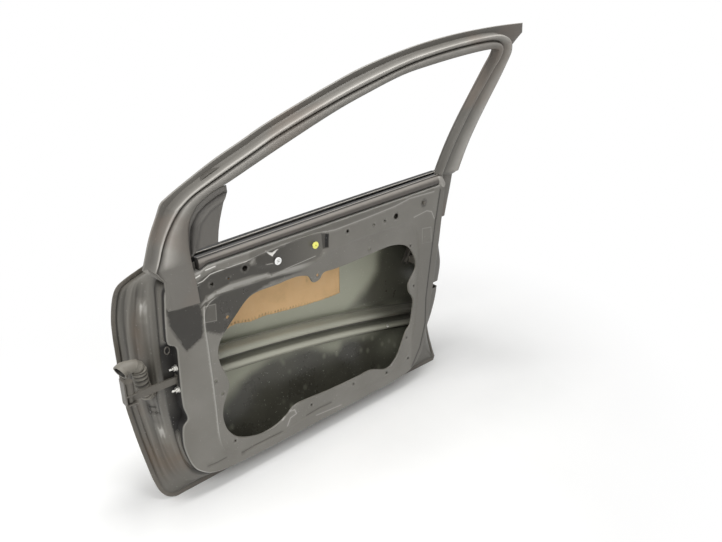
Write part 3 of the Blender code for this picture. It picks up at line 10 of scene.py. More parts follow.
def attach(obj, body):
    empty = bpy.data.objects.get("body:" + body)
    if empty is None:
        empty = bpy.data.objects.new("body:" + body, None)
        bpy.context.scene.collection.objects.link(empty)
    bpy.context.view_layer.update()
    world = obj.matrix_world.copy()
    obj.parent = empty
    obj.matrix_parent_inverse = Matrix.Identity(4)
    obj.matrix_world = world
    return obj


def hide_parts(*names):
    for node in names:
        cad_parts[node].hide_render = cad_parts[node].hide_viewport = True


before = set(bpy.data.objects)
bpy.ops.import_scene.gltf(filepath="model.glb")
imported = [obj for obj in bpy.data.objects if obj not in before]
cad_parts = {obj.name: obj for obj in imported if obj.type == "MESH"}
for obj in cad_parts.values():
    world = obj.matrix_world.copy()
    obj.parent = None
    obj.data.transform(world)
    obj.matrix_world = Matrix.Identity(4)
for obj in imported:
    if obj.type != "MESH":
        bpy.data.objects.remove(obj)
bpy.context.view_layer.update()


def metres(table):
    """Table in millimetres as the same table in metres."""
    return tuple(metres(row) if isinstance(row, tuple) else row / 1000 for row in table)


# Design coordinates: x from the front hem, y from the trim face, z from the
# sill edge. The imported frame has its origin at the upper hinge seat.
ORIGIN = Vector((0.041869, 0.076305, 0.53))

# Camera in design coordinates, and how far the door leans against the wall.
EYE = Vector((-0.402, -1.125, 1.122))
RIGHT = Vector((0.7318, -0.6814, 0.0137))
DOWN = Vector((-0.2538, -0.2911, -0.9224))
AHEAD = Vector((0.6325, 0.6716, -0.3859))
FOCAL = 29.64
LEAN = math.radians(5.5)

# Fineness of the curves, belt, beam, tubes and sheets.
STEPS, BELT_STEPS, BEAM_STEPS, RING_STEPS, TUBE_SIDES = 6, 100, 120, 22, 28
GRID, SKIN_GRID, RING_SOFT = 0.005, 0.011, 0.07

# Skin, panel and hem, as in the CAD source.
SILL_Y, BELLY_Y, BELLY_Z, BELT_Y, BELT_Z = 0.055, 0.128, 0.42, 0.105, 0.66
TUCK_POWER, PLAN_BOW, MID_X, SKIN_T = 2.6, 0.006, 0.55, 0.0008
HEM_TURN, HEM_ROOM = 0.0016, 0.0001
HEM_RETURN, FLANGE_WIDTH, FLANGE_INSET, SHEET_GAP = 0.009, 0.012, 0.0022, 0.0006
PANEL_T, WALL_LEAN = 0.001, 0.004
MM_LEDGE, MM_POCKET = 56, 97
LEDGE_Y, POCKET_X = MM_LEDGE / 1000, MM_POCKET / 1000
# The belt line as the photograph shows it. The CAD's bar is lower at the rear, and its outer strip
# and shoulder are higher at the front.
FOLD_Z0, FOLD_SLOPE, BAR_TOP_Z0, BAR_TOP_SLOPE = 0.6043, 0.0653, 0.6243, 0.0765
END_FOLD = ((0.157, 0.605), (1.004, 0.676))
SHOULDER_Z0, SHOULDER_SLOPE, OUTER_BELT_Z0, OUTER_BELT_SLOPE = 0.623, 0.070, 0.5965, 0.085
BELT_FLANGE_Y, SKIN_FLANGE, BELT_SHARE, BELT_FLANGE_END, BELT_FLANGE_RISE = 0.020, 0.021, 0.94, 0.965, 0.020
RAIL_ROOM, RAIL_T = 0.0016, 0.0012
# Turn of the panel's top edge, as y and z over the fold, and of the skin's, also with its length's share.
BELT_TURN = ((0.0006, 0.0008), (0.0025, 0.0012), (BELT_FLANGE_Y, 0.003), (BELT_FLANGE_Y, BELT_FLANGE_RISE))
SHOULDER_TURN = (
    (0.005, -0.001, 0.97), (0.016, 0.001, BELT_SHARE), (SKIN_FLANGE, -0.003, BELT_SHARE),
    (SKIN_FLANGE, -0.016, BELT_SHARE),
)
# Turn of the opening's edge: inward and outboard.
MOUTH_ROLL = ((0.0010, 0.0014), (0.0014, 0.0050))
# Window frame and glass run.
LEAN_START_Z, LEAN_SLOPE, LEAN_CURVE, FRAME_SETBACK = 0.60, 0.22, 0.18, 0.020
SETBACK_RISE = (0.61, 0.72)
FRAME_DEPTH, RUN_BOTTOM, RUN_TOP, RUN_DEPTH, RUN_SETBACK, RUN_WALL = 0.050, 0.025, 0.041, 0.034, 0.024, 0.002
LEG_PLATE_T, LEG_FACE_Y, SEAT = 0.0013, 0.022, 0.0003
# Check arm's slot, latch notch, mirror plate and side beam.
ARM_Y, ARM_Z, ARM_T, ARM_HEIGHT, SLOT_GAP = 0.017, 0.353, 0.005, 0.018, 0.002
NOTCH_X, NOTCH_Z, NOTCH_HEIGHT = 1.042, 0.298, 0.022
MIRROR_GAP, MIRROR_T = 0.0022, 0.0025
BEAM_X, BEAM_T = (0.085, 1.020), 0.0015
BEAM_SECTION = metres((
    (0, 14), (6, 14), (12, 38), (28, 38), (34, 18), (46, 18), (52, 38), (68, 38), (74, 14),
    (86, 14),
))
# Painted highlights on the beam's ridges, painted shade in its valley and thin dark lines: how far below its
# top, how wide and how strong.
BEAM_PAINTED_LIGHT_AND_SHADE = (
    (0.020, 0.009, 0.62), (0.060, 0.009, 0.62), (0.040, 0.006, -0.45), (0.0315, 0.0025, -0.6),
    *((drop, 0.0012, -0.22) for drop in (0.0145, 0.0205, 0.0265, 0.0585, 0.0650)),
)
SCREW_X, SCREW_DROP, BEAM_RIDGE = 0.847, 0.060, 0.038
SCREW_PROFILE = (
    (0.0, 0.0045), (0.0005, 0.0062), (0.0014, 0.0062), (0.0018, 0.0045), (0.0042, 0.0042), (0.0046, 0.0030),
    (0.0030, 0.0022),
)
# Wiring boot, elbow and plug.
BOOT_SEAT_Z, BOOT_SEAT_SHARE, BOOT_GAP, BOOT_FLANGE_T, BOOT_FLANGE_R = 0.318, 0.74, 0.0010, 0.003, 0.0175
BOOT_NECK_R, BOOT_RIDGE, BOOT_VALLEY, BOOT_KNEE, BOOT_KNEE_RISE = 0.0115, 0.0172, 0.0132, 0.012, 0.004
BOOT_SPINE = metres(((30, 54, 338), (25.8, 51.5, 354), (22.5, 48, 379), (20, 45.2, 398)))
ELBOW_SPINE = metres((
    (16.5, 44.5, 406), (9, 45, 411), (-1, 46, 411.5), (-12, 48, 409), (-21.5, 45.5, 405),
))
ELBOW_R, ELBOW_NECK_R, MOUTH_R, MOUTH_DEEP = 0.0148, 0.0140, 0.0185, 0.0110
ELBOW_RIBS = (8, 9, 18, 19)
MOUTH_STEPS = ((0.0030, 0.0), (0.0038, 0.0010), (0.0042, MOUTH_DEEP))
PLUG_PROFILE = (
    (0.0, MOUTH_R - 0.0048), (0.0035, MOUTH_R - 0.0048), (0.0040, MOUTH_R - 0.0070),
    (0.0020, MOUTH_R - 0.0075), (0.0020, 0.0055), (0.0045, 0.0050), (0.0045, 0.0030),
)
PAD_T, PAD_GAP, STITCH_STEP = 0.003, 0.0007, 0.0105
# Handle dish, clips, boss and nut on the trim face.
HANDLE_AT, HANDLE_SIZE, HANDLE_DEEP = (0.955, 0.560), (0.085, 0.032), 0.013
WHITE_AT, YELLOW_AT, NUT_AT = (0.376, 0.580), (0.494, 0.593), (0.912, 0.626)
BOSS_HIGH, BOSS_R = 0.0025, 0.011
CLIP_FOOT = ((0.0062, -0.0048), (0.0062, 0.0))
CLIP_HEAD = ((0.0070, 0.0009), (0.0075, 0.0016), (0.0075, 0.0030), (0.0070, 0.0038)) + tuple(
    (0.0064 - 0.0009 * k, 0.0041 + 0.0005 * math.sin(k / 7 * math.pi / 2)) for k in range(8))
# Hinge face: seats of the two hinges (height, share across) and the well with two slots below the boot.
HINGE_WIDTH, HINGE_SEATS = 0.056, ((0.5335, 0.70), (0.2025, 0.64))
WELL_Z, WELL_SLOTS = 0.286, ((0.2725, 0.003), (0.306, -0.003))

# Round the door from the front corner of the belt: hem, ledge, shoulder and trim edge.
STATIONS = metres((
    ((130, 632), (143, 70, 622), (155, 34, 617), (157, 605)),
    ((80, 608), (95, 70, 612), (103, 34, 611), (118, 600)),
    ((45, 592), (72, 72, 603), (84, 34, 604), (98, 594)),
    ((22, 576), (56, 74, 586), (76, 33, 588), (86, 578)),
    ((10, 548), (47, 76, 553), (73.5, 32, 556), (82, 548)),
    ((2, 500), (40, 78, 500), (71, 31, 500), (79, 500)),
    ((0, 455), (37, 78, 455), (69, 31, 455), (78.5, 462)),
    ((0, 430), (36.5, 78, 430), (68.5, 31, 435), (97, 445)),
    ((0, 400), (36, 78, 400), (68, 31, 405), (98.5, 412)),
    ((0, 345), (36, 78, 345), (68, 31, 345), (MM_POCKET, 345)),
    ((1, 290), (37, 77, 290), (69, 31, 290), (97.5, 285)),
    ((3, 255), (39, 76, 258), (71, 31, 255), (105, 247)),
    ((6, 225), (42, 75, 228), (74, 31, 230), (90.5, 227)),
    ((11, 175), (47, 68, 180), (79, 30, 180), (87.5, 178)),
    ((18, 115), (55, 60, 122), (86, 27, 130), (96, 132)),
    ((26, 55), (66, 52, 75), (98, 24, 92), (108, 100)),
    ((38, 20), (82, 45, 48), (114, 20, 66), (126, 78)),
    ((62, 2), (108, 41, 32), (140, 18, 48), (152, 60)),
    ((100, 0), (150, 40, 24), (185, 16, 38), (195, 50)),
    ((250, 0), (270, 40, 20), (280, 16, 34), (280, 46)),
    ((450, 0), (450, 40, 20), (450, 16, 33), (450, 45)),
    ((650, 0), (650, 40, 20), (650, 16, 33), (650, 45)),
    ((850, 0), (830, 40, 22), (820, 16, 34), (820, 46)),
    ((980, 0), (930, 40, 30), (885, 18, 42), (880, 54)),
    ((1066, 0), (985, 46, 55), (922, 25, 66), (915, 75)),
    ((1078, 11), (1005, 50, 85), (942, 35, 95), (935, 100)),
    ((1076, 40), (1018, 53, 115), (953, 42, 125), (946, 130)),
    ((1072, 110), (1030, 55, 150), (961, 46, 170), (954, 172)),
    ((1076, 180), (1052, MM_LEDGE, 190), (970, 48, 220), (962, 222)),
    ((1084, 240), (1069, MM_LEDGE, 245), (978, 50, 275), (970, 276)),
    ((1093, 300), (1076, MM_LEDGE, 300), (986, 50, 335), (978, 335)),
    ((1099, 370), (1084, MM_LEDGE, 370), (991, 50, 385), (983, 385)),
    ((1099, 430), (1070, MM_LEDGE, 430), (995, 50, 430), (987, 430)),
    ((1097, 480), (1059, MM_LEDGE, 480), (1001, 53, 485), (993.5, 485)),
    ((1097, 540), (1066, MM_LEDGE, 540), (1006, 55.5, 545), (998, 545)),
    ((1100, 610), (1072, MM_LEDGE, 600), (1010, 55.5, 600), (1002, 600)),
    ((1102, 699), (1075, MM_LEDGE, 675), (1012, 55.5, 675), (1004, 676)),
))
HEM_CORNERS = (24, 25)
OPENING = metres((
    (283, 503), (250, 472), (215, 435), (198, 405), (197, 365), (212, 320), (218, 290), (208, 262),
    (197, 235), (194, 200), (204, 160), (230, 125), (268, 105), (308, 96), (350, 100), (385, 114),
    (415, 135), (460, 135), (540, 129), (650, 126), (710, 126), (780, 102), (822, 125), (845, 168),
    (862, 205), (882, 230), (891, 300), (884, 325), (868, 348), (864, 372), (876, 392), (894, 420),
    (886, 460), (850, 503), (790, 521), (715, 519), (640, 512), (565, 508), (525, 508), (508, 492),
    (488, 490), (472, 512), (430, 521), (370, 517), (315, 515),
))
# Field round the opening, and the outer and the deep outline of the upper recess.
FIELD = metres((
    (350, 541), (293, 541), (232, 540), (196, 533), (173, 514), (168, 480), (171, 403), (174, 320),
    (176, 240), (178, 155), (191, 101), (219, 79), (252, 67), (359, 66), (450, 76), (650, 78),
    (790, 76), (850, 95), (884, 140), (900, 200), (906, 300), (906, 400), (902, 480), (888, 540),
    (850, 574), (780, 580), (640, 574), (535, 560), (500, 545), (444, 536),
))
RECESS_EDGE = metres((
    (160, 518), (176, 529), (205, 538), (253, 541), (337, 541), (378, 538), (420, 536), (460, 537),
    (500, 545), (535, 560), (546, 578), (548, 600), (541, 619), (528, 626), (488, 627), (437, 624),
    (400, 618), (341, 615), (312, 609), (290, 602), (246, 601), (205, 605), (167, 594), (149, 582),
    (145, 560), (149, 530),
))
RECESS_FLOOR = metres((
    (164, 526), (180, 541), (205, 549), (248, 557), (292, 559), (349, 554), (361, 547), (409, 549),
    (460, 550), (493, 551), (515, 557), (522, 575), (522, 600), (518, 617), (488, 621), (437, 619),
    (400, 612), (341, 609), (312, 603), (290, 596), (246, 595), (205, 599), (171, 588), (157, 576),
    (154, 550),
))
RECESS_DEEP, FIELD_DEEP, CREASE_DEEP = 0.005, 0.0018, 0.0015
PADS = metres((((912, 546), (952, 542), (959, 491), (914, 497)),))
SQUARE = metres(((170, 521), (200, 518), (199, 476), (167, 481)))
DOME = metres((
    (338, 612), (384, 606), (372, 595), (385, 580), (374, 566), (350, 566), (318, 573), (298, 588),
))
# Painted glint at the top of the dome.
GLINT = metres((
    (343, 614), (355, 605), (364, 603), (380, 607), (372, 599), (362, 594), (352, 602),
))
# Painted shadow line along the rear edge of the trim face, which bounds its rear strip.
REAR_PAINTED_SHADOW_LINE = metres((
    (985, 655), (979, 611), (973, 564), (972, 567), (960, 442), (948, 301), (952, 209), (933, 126),
    (897, 63),
))
REAR_STRIP = REAR_PAINTED_SHADOW_LINE + metres(((930, 50), (1020, 130), (1030, 680)))
TOP_LINE = metres((
    (295, 602), (326, 607), (385, 617), (425, 620), (504, 623), (562, 619), (670, 628), (787, 640),
    (849, 652), (955, 654),
))
# Painted highlights on the edges of the crumpled corner by the belt, of the dome and of the rear corner:
# line, tone, width.
PAINTED_HIGHLIGHTS = (
    (metres(((182, 608), (205, 611))), 1.0, 0.0016),
    (metres(((152, 595), (168, 600))), 1.0, 0.0017),
    (metres((
        (154, 578), (176, 582), (195, 593), (213, 595), (232, 596), (264, 601), (297, 601),
    )), 0.95, 0.0016),
    (metres(((155, 570), (164, 574))), 0.5, 0.0012),
    (metres(((343, 614), (356, 605), (364, 603), (381, 607))), 1.0, 0.0016),
    (metres(((346, 578), (361, 577))), 0.5, 0.0013),
    (metres(((363, 548), (387, 548), (415, 551), (456, 555), (499, 560))), 0.45, 0.0015),
    (TOP_LINE, 0.32, 0.0022),
    (metres(((871, 590), (927, 599), (950, 592), (965, 567))), 0.35, 0.0016),
    (metres(((922, 427), (919, 400), (934, 362))), 0.35, 0.0015),
    (metres(((955, 170), (946, 128), (912, 71))), 0.45, 0.0016),
    (metres(((490, 68), (583, 59))), 0.3, 0.0016),
)
# Painted shade under the belt bar, between the top line and the fold.
PAINTED_SHADE_TOP_BAND = TOP_LINE + metres(((953, 678), (562, 646), (297, 623)))
# Painted shadow of the slot in the recess's end wall.
SLOT_PAINTED_SHADOW = metres(((530, 616), (541, 612), (540, 576), (529, 576)))
SMALL_DOME = metres(((296, 606), (310, 609), (317, 598), (317, 585), (302, 584), (295, 596)))
SLOT_SHADE = metres(((518, 618), (542, 614), (541, 574), (523, 573)))
# Painted dark reflections on the front strip and on the field beside the recess.
PAINTED_REFLECTION_UPPER = metres((
    (78, 544), (161, 534), (167, 494), (160, 445), (115, 423), (101, 457), (84, 493),
))
PAINTED_REFLECTION_FIELD = metres((
    (175, 529), (205, 540), (253, 542), (337, 541), (378, 538), (460, 533), (434, 529), (354, 528),
    (301, 514), (283, 503), (275, 469), (239, 443), (206, 436), (171, 457), (167, 489),
))
RAISED = ((DOME, 0.0045, 0.010), (SMALL_DOME, 0.0030, 0.008), *((pad, 0.0015, 0.004) for pad in PADS))
TRIM_HOLES = metres((
    (197, 568, 4.5), (241, 570, 2.5), (286, 583, 7), (606.5, 605.2, 4.5), (705, 602, 3),
    (748, 604, 3.5), (793, 609, 8.5), (863, 501, 3), (691, 532, 3), (502, 506, 4), (887, 362, 3),
    (228, 475, 4), (183, 316, 3), (198, 274, 3), (222, 119, 3), (866, 184, 3), (876, 105, 3.5),
    (778, 89, 4), (635, 110, 3), (473, 111, 3.5),
))
CREASES = metres((
    ((240, 70), (278, 73), (323, 72), (363, 71)), ((455, 83), (500, 86), (545, 84)),
    ((140, 85), (165, 82), (190, 83)),
))
# Painted highlight along the rolled rim of the opening.
RIM_PAINTED_HIGHLIGHT = metres(((374, 109), (392, 126), (413, 123), (419, 107), (398, 103), (387, 82)))
# Painted shadows on the inside of the skin, low down and at the rear.
SKIN_PAINTED_SHADOW_LOW = metres((
    (254, 153), (272, 177), (303, 215), (349, 227), (430, 227), (516, 223), (584, 207), (664, 176),
    (689, 195), (785, 182), (878, 171), (1004, 146), (1080, 120), (1080, -20), (100, -20),
    (150, 60), (200, 120),
))
SKIN_PAINTED_SHADOW_REAR = metres((
    (835, 550), (850, 450), (830, 390), (790, 330), (720, 290), (840, 250), (1030, 190),
    (1120, 250), (1120, 550),
))
FELT_OUTLINE = metres((
    (262, 515), (685, 515), (684, 437), (685, 357), (657, 355), (600, 356), (550, 358), (480, 364),
    (411, 371), (365, 369), (319, 378), (285, 372), (262, 376),
))
FELT_CREASE = metres(((560, 515), (555, 470), (560, 430)))
# Window frame outlines from outside to inside; front foot first.
LIP = metres((
    (84.5, 537), (84, 575), (83, 606), (58, 627), (68, 656), (77, 682), (96, 735), (105, 764),
    (111, 774), (149, 801), (224, 849), (287, 883), (359, 922), (508, 990), (603, 1028),
    (708, 1059), (797, 1080), (905, 1099), (1024, 1114), (1109, 1122), (1179, 1127), (1198, 1102),
    (1173, 1070), (1158, 1037), (1154, 986), (1140, 922), (1124, 851), (1113, 784), (1107, 714),
    (1103, 700), (1096, 686), (1089, 645), (1078, 600), (1068, 553),
))
BAND = metres((
    (87, 537), (86.5, 575), (85.5, 606), (67, 630), (78, 659), (87, 686), (105, 732), (115, 753),
    (122, 764), (155, 794), (226, 836), (289, 869), (364, 910), (508, 975), (603, 1012),
    (707, 1045), (796, 1065), (905, 1085), (1003, 1098), (1056, 1100), (1095, 1092), (1123, 1079),
    (1143, 1056), (1146, 1027), (1142, 981), (1129, 919), (1113, 847), (1102, 785), (1096, 715),
    (1092, 700), (1086, 686), (1078, 645), (1067, 600), (1057, 553),
))
GROOVE = metres((
    (90, 537), (89.5, 575), (88.5, 606), (72, 632), (83, 659), (92, 683), (115, 733), (130, 758),
    (140, 770), (165, 790), (223, 822), (290, 858), (362, 896), (500, 955), (596, 991),
    (696, 1025), (788, 1048), (894, 1067), (986, 1079), (1030, 1080), (1060, 1074), (1079, 1059),
    (1081, 1034), (1068, 1004), (1054, 962), (1039, 919), (1019, 852), (1004, 787), (993, 721),
    (990, 704), (1024, 686), (1024, 645), (1023, 600), (1021, 553),
))
WINDOW = metres((
    (161, 535), (158, 575), (154, 608), (150, 638), (148, 666), (149, 693), (152, 730), (165, 759),
    (174, 769), (202, 789), (239, 804), (293, 831), (365, 867), (498, 931), (594, 970),
    (696, 1006), (788, 1026), (891, 1044), (968, 1055), (1020, 1060), (1045, 1060), (1058, 1053),
    (1060, 1036), (1052, 1008), (1040, 966), (1026, 922), (1006, 853), (991, 788), (980, 721),
    (977, 702), (1013.5, 684), (1013.5, 645), (1012.5, 600), (1010, 553),
))
LIP_CORNERS = (2, 3, 8, 20, 21, 29, 30)
LEG_BREAKS = (2, 3, 29, 30)
RUN_FIRST, RUN_LAST = 10, 28


def lerp(a, b, t):
    return tuple(p + (q - p) * t for p, q in zip(a, b))


def spline_span(p0, p1, p2, p3, t):
    return tuple(
        0.5 * (2 * b + (c - a) * t + (2 * a - 5 * b + 4 * c - d) * t * t
               + (3 * b - a - 3 * c + d) * t * t * t)
        for a, b, c, d in zip(p0, p1, p2, p3))


def smooth(points, steps=STEPS, breaks=()):
    """Open smooth curve through the points, with a corner at each break."""
    last = len(points) - 1
    corners = set(breaks) | {0, last}
    result = []
    for i in range(last):
        p1, p2 = points[i], points[i + 1]
        p0 = p1 if i in corners else points[i - 1]
        p3 = p2 if i + 1 in corners else points[i + 2]
        result += [spline_span(p0, p1, p2, p3, k / steps) for k in range(steps)]
    return result + [tuple(points[last])]


def smooth_loop(points, steps=STEPS):
    n = len(points)
    result = []
    for i in range(n):
        quad = [points[(i + k) % n] for k in (-1, 0, 1, 2)]
        result += [spline_span(*quad, k / steps) for k in range(steps)]
    return result


def inset(loop, distance):
    """Closed plan loop moved towards its own inside."""
    n = len(loop)
    turn = sum(a[0] * b[1] - b[0] * a[1] for a, b in zip(loop, loop[1:] + loop[:1]))
    side = 1.0 if turn > 0 else -1.0
    result = []
    for i, point in enumerate(loop):
        before, after = loop[i - 1], loop[(i + 1) % n]
        dx, dz = after[0] - before[0], after[1] - before[1]
        length = math.hypot(dx, dz)
        result.append((point[0] - side * dz / length * distance, point[1] + side * dx / length * distance))
    return result


def skin_y(x, z):
    bow = PLAN_BOW * ((x - MID_X) / MID_X) ** 2
    if z < BELLY_Z:
        fall = (BELLY_Y - SILL_Y) * (1 - max(z, 0.0) / BELLY_Z) ** TUCK_POWER
    else:
        fall = (BELLY_Y - BELT_Y) * ((z - BELLY_Z) / (BELT_Z - BELLY_Z)) ** 2
    return BELLY_Y - fall - bow


def skin_at(plan):
    return np.array([skin_y(x, z) for x, z in plan])


def frame_y(z):
    rise = max(z - LEAN_START_Z, 0.0)
    low, high = SETBACK_RISE
    share = min(max((z - low) / (high - low), 0.0), 1.0)
    return FRAME_SETBACK * share * share * (3 - 2 * share) - LEAN_SLOPE * rise - LEAN_CURVE * rise * rise


def fold_z(x):
    """Top edge of the trim face, let down or up to meet the walls at both ends."""
    (front, front_z), (rear, rear_z) = END_FOLD
    line = FOLD_Z0 + FOLD_SLOPE * x
    line += (front_z - line) * float(ramp((front + 0.035 - x) / 0.033))
    return line + (rear_z - line) * float(ramp((x - rear + 0.032) / 0.030))


def bar_top_z(x):
    return BAR_TOP_Z0 + BAR_TOP_SLOPE * x


def shoulder_z(x):
    """Top edge of the outer skin, which meets the hem ends at their own height."""
    share = float(ramp((x - 0.14) / 0.05) * ramp((1.085 - x) / 0.05))
    end, middle = SHOULDER_Z0 + SHOULDER_SLOPE * x, OUTER_BELT_Z0 + OUTER_BELT_SLOPE * x
    return end + (middle - end) * share


def beam_top(x):
    t = (x - 0.2) / 0.8
    return 0.349 - 0.142 * (x - 0.2) + 0.048 * t * (1 - t)


def ramp(value):
    """Smooth step from 0 to 1 of a number or array."""
    t = np.clip(value, 0.0, 1.0)
    return t * t * (3 - 2 * t)


def bell(value):
    return np.exp(-np.square(value))


def rise(value, start, width):
    return float(ramp((value - start) / width))


def fall(value, end, width):
    return float(ramp((end - value) / width))


def hump(value, middle, width):
    return float(bell((value - middle) / width))


def to_line(points, line, closed=False):
    """Distance of plan points to a plan line."""
    points = np.asarray(points, float)
    ends = np.asarray(line, float)
    starts = ends if closed else ends[:-1]
    stops = np.roll(ends, -1, axis=0) if closed else ends[1:]
    best = np.full(len(points), 1e9)
    for a, b in zip(starts, stops):
        d = b - a
        t = np.clip(((points - a) @ d) / max(d @ d, 1e-12), 0, 1)
        best = np.minimum(best, np.linalg.norm(points - a - t[:, None] * d, axis=1))
    return best


def signed(points, loop):
    """Distance to a closed plan loop, positive inside."""
    points = np.asarray(points, float)
    hit = np.zeros(len(points), bool)
    x, z = points[:, 0], points[:, 1]
    for (x1, z1), (x2, z2) in zip(loop, list(loop[1:]) + [loop[0]]):
        if z1 != z2:
            crosses = (z1 > z) != (z2 > z)
            hit ^= crosses & (x < x1 + (z - z1) / (z2 - z1) * (x2 - x1))
    return np.where(hit, 1.0, -1.0) * to_line(points, loop, True)


def cloud(points, scale, seed=0.0):
    """Soft noise from -1 to 1 at each point."""
    shift = Vector((seed, seed * 0.37, seed * 1.71))
    return np.array([noise.noise(Vector(p) * scale + shift) for p in points])


def circle(sides):
    """Angles round a circle."""
    return [2 * math.pi * i / sides for i in range(sides)]


def between(first, last, count):
    """Even values between two ends, without the ends."""
    return [first + (last - first) * i / count for i in range(1, count)]


def hem_inset(hem, distance):
    result = []
    for i, (x, z) in enumerate(hem):
        before, after = hem[max(i - 1, 0)], hem[min(i + 1, len(hem) - 1)]
        dx, dz = after[0] - before[0], after[1] - before[1]
        length = math.hypot(dx, dz)
        result.append((x - dz / length * distance, z + dx / length * distance))
    return result


def bridge(bm, below, above, closed=False):
    """Faces between two rows of verts."""
    for i in range(len(below) if closed else len(below) - 1):
        j = (i + 1) % len(below)
        bm.faces.new((below[i], below[j], above[j], above[i]))


def linked(name, data):
    """New object in the scene."""
    made = bpy.data.objects.new(name, data)
    bpy.context.scene.collection.objects.link(made)
    return made


def mesh_from(name, bm, angle=40.0):
    bmesh.ops.recalc_face_normals(bm, faces=bm.faces)
    mesh = bpy.data.meshes.new(name)
    bm.to_mesh(mesh)
    bm.free()
    mesh.shade_smooth()
    mesh.set_sharp_from_angle(angle=math.radians(angle))
    return mesh


def grid_mesh(name, rows, closed=False, caps=False, angle=40.0):
    bm = bmesh.new()
    grid = [[bm.verts.new(p) for p in row] for row in rows]
    for a, b in zip(grid, grid[1:]):
        bridge(bm, a, b, closed)
    if caps:
        bm.faces.new(list(reversed(grid[0])))
        bm.faces.new(grid[-1])
    return mesh_from(name, bm, angle)


def face_towards(mesh, direction):
    total = sum((p.normal.dot(direction) * p.area for p in mesh.polygons), 0.0)
    if total < 0:
        mesh.flip_normals()
    return mesh


def triangulated(bm, outlines, holes, extra, depth):
    """Plan loops and points as a sheet; holes are open. Returns the verts by their source."""
    coords, edges = [], []
    for loop in outlines:
        first = len(coords)
        coords += [Vector(p) for p in loop]
        edges += [(first + i, first + (i + 1) % len(loop)) for i in range(len(loop))]
    coords += [Vector(p) for p in extra]
    points, _, faces, origins, _, _ = delaunay_2d_cdt(coords, edges, [], 0, 1e-7)
    plan = np.array([tuple(p) for p in points])
    middles = np.array([(plan[f[0]] + plan[f[1]] + plan[f[2]]) / 3 for f in faces])
    keep = signed(middles, outlines[0]) > 0
    for hole in holes:
        keep &= signed(middles, hole) < 0
    height = depth(plan)
    verts = {}
    for face, good in zip(faces, keep):
        if not good:
            continue
        a, b, c = (points[i] for i in face)
        if abs((b - a).cross(c - a)) < 1e-9:
            continue
        for i in face:
            if i not in verts:
                verts[i] = bm.verts.new((plan[i][0], height[i], plan[i][1]))
        bm.faces.new([verts[i] for i in face])
    return {origins[i][0]: v for i, v in verts.items() if origins[i]}


def grid_points(loop, step, clear, margin):
    """Grid points inside a loop that stay off the other lines."""
    low, high = np.min(loop, axis=0), np.max(loop, axis=0)
    xs = np.arange(low[0] + step / 2, high[0], step)
    zs = np.arange(low[1] + step / 2, high[1], step)
    shifts = [0.25 * step if k % 2 else -0.25 * step for k in range(len(zs))]
    points = np.array([(x + shift, z) for z, shift in zip(zs, shifts) for x in xs])
    keep = signed(points, loop) > margin
    for line in clear:
        keep &= to_line(points, line, True) > margin
    return points[keep]


def beside(lines, closed, step=0.0013, offsets=(-0.0024, -0.0012, 0.0, 0.0012, 0.0024)):
    """Points along plan lines and to both sides, so that a thin painted line stays sharp."""
    points = []
    for line in lines:
        ends = list(line) + ([line[0]] if closed else [])
        for a, b in zip(ends, ends[1:]):
            length = math.dist(a, b)
            if length < 1e-5:
                continue
            across = (-(b[1] - a[1]) / length, (b[0] - a[0]) / length)
            count = max(1, round(length / step))
            for k in range(count):
                x, z = lerp(a, b, (k + 0.5) / count)
                points += [(x + across[0] * d, z + across[1] * d) for d in offsets]
    return np.array(points)


def applied(mesh, *steps):
    """Mesh with modifiers applied; each step adds one to the object it gets."""
    temp = linked("temp", mesh)
    for step in steps:
        step(temp)
    bpy.context.view_layer.update()
    shown = temp.evaluated_get(bpy.context.evaluated_depsgraph_get())
    made = bpy.data.meshes.new_from_object(shown)
    bpy.data.objects.remove(temp)
    return made


def thick(thickness, offset):
    def step(piece):
        mod = piece.modifiers.new("thickness", "SOLIDIFY")
        mod.thickness = thickness
        mod.offset = offset
    return step


def box_cutter(centre, size):
    bm = bmesh.new()
    bmesh.ops.create_cube(bm, size=1.0)
    bmesh.ops.scale(bm, vec=Vector(size), verts=bm.verts)
    bmesh.ops.translate(bm, vec=Vector(centre), verts=bm.verts)
    mesh = bpy.data.meshes.new("cutter")
    bm.to_mesh(mesh)
    bm.free()
    return mesh


def cut_with(tools):
    def step(piece):
        for mesh in tools:
            tool = linked("cutter", mesh)
            tool.hide_render = True
            cutters.append(tool)
            mod = piece.modifiers.new("cut", "BOOLEAN")
            mod.operation = "DIFFERENCE"
            mod.solver = "EXACT"
            mod.object = tool
    return step


cutters = []


def positions(mesh):
    co = np.zeros(len(mesh.vertices) * 3)
    mesh.vertices.foreach_get("co", co)
    return co.reshape(-1, 3)


def paint(mesh, name, values):
    """Number at each vertex that the material reads, from -1 to 1."""
    layer = mesh.attributes.get(name) or mesh.attributes.new(name, "FLOAT", "POINT")
    layer.data.foreach_set("value", np.clip(values, -1.0, 1.0).astype(np.float32))


def add_piece(name, mesh, material, nodes):
    mesh.transform(Matrix.Translation(-ORIGIN))
    mesh.materials.clear()
    mesh.materials.append(material)
    piece = linked(name, mesh)
    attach(piece, "shell")
    if nodes:
        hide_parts(*nodes)
    return piece


# Materials.

SPECK_SCALE, GRAIN_DEEP, WAVE_DEEP = 210.0, 0.0004, 0.002
WHITE = (1.0, 1.0, 1.0, 1.0)


def rgb(values):
    """Linear colour of an sRGB colour given from 0 to 255."""
    shares = [value / 255 for value in values]
    return tuple(c / 12.92 if c <= 0.04045 else ((c + 0.055) / 1.055) ** 2.4 for c in shares)


def put(tree, kind, inputs=None, **settings):
    made = tree.nodes.new(kind)
    for key, value in settings.items():
        setattr(made, key, value)
    for key, value in (inputs or {}).items():
        if isinstance(value, bpy.types.NodeSocket):
            tree.links.new(value, made.inputs[key])
        else:
            made.inputs[key].default_value = value
    return made


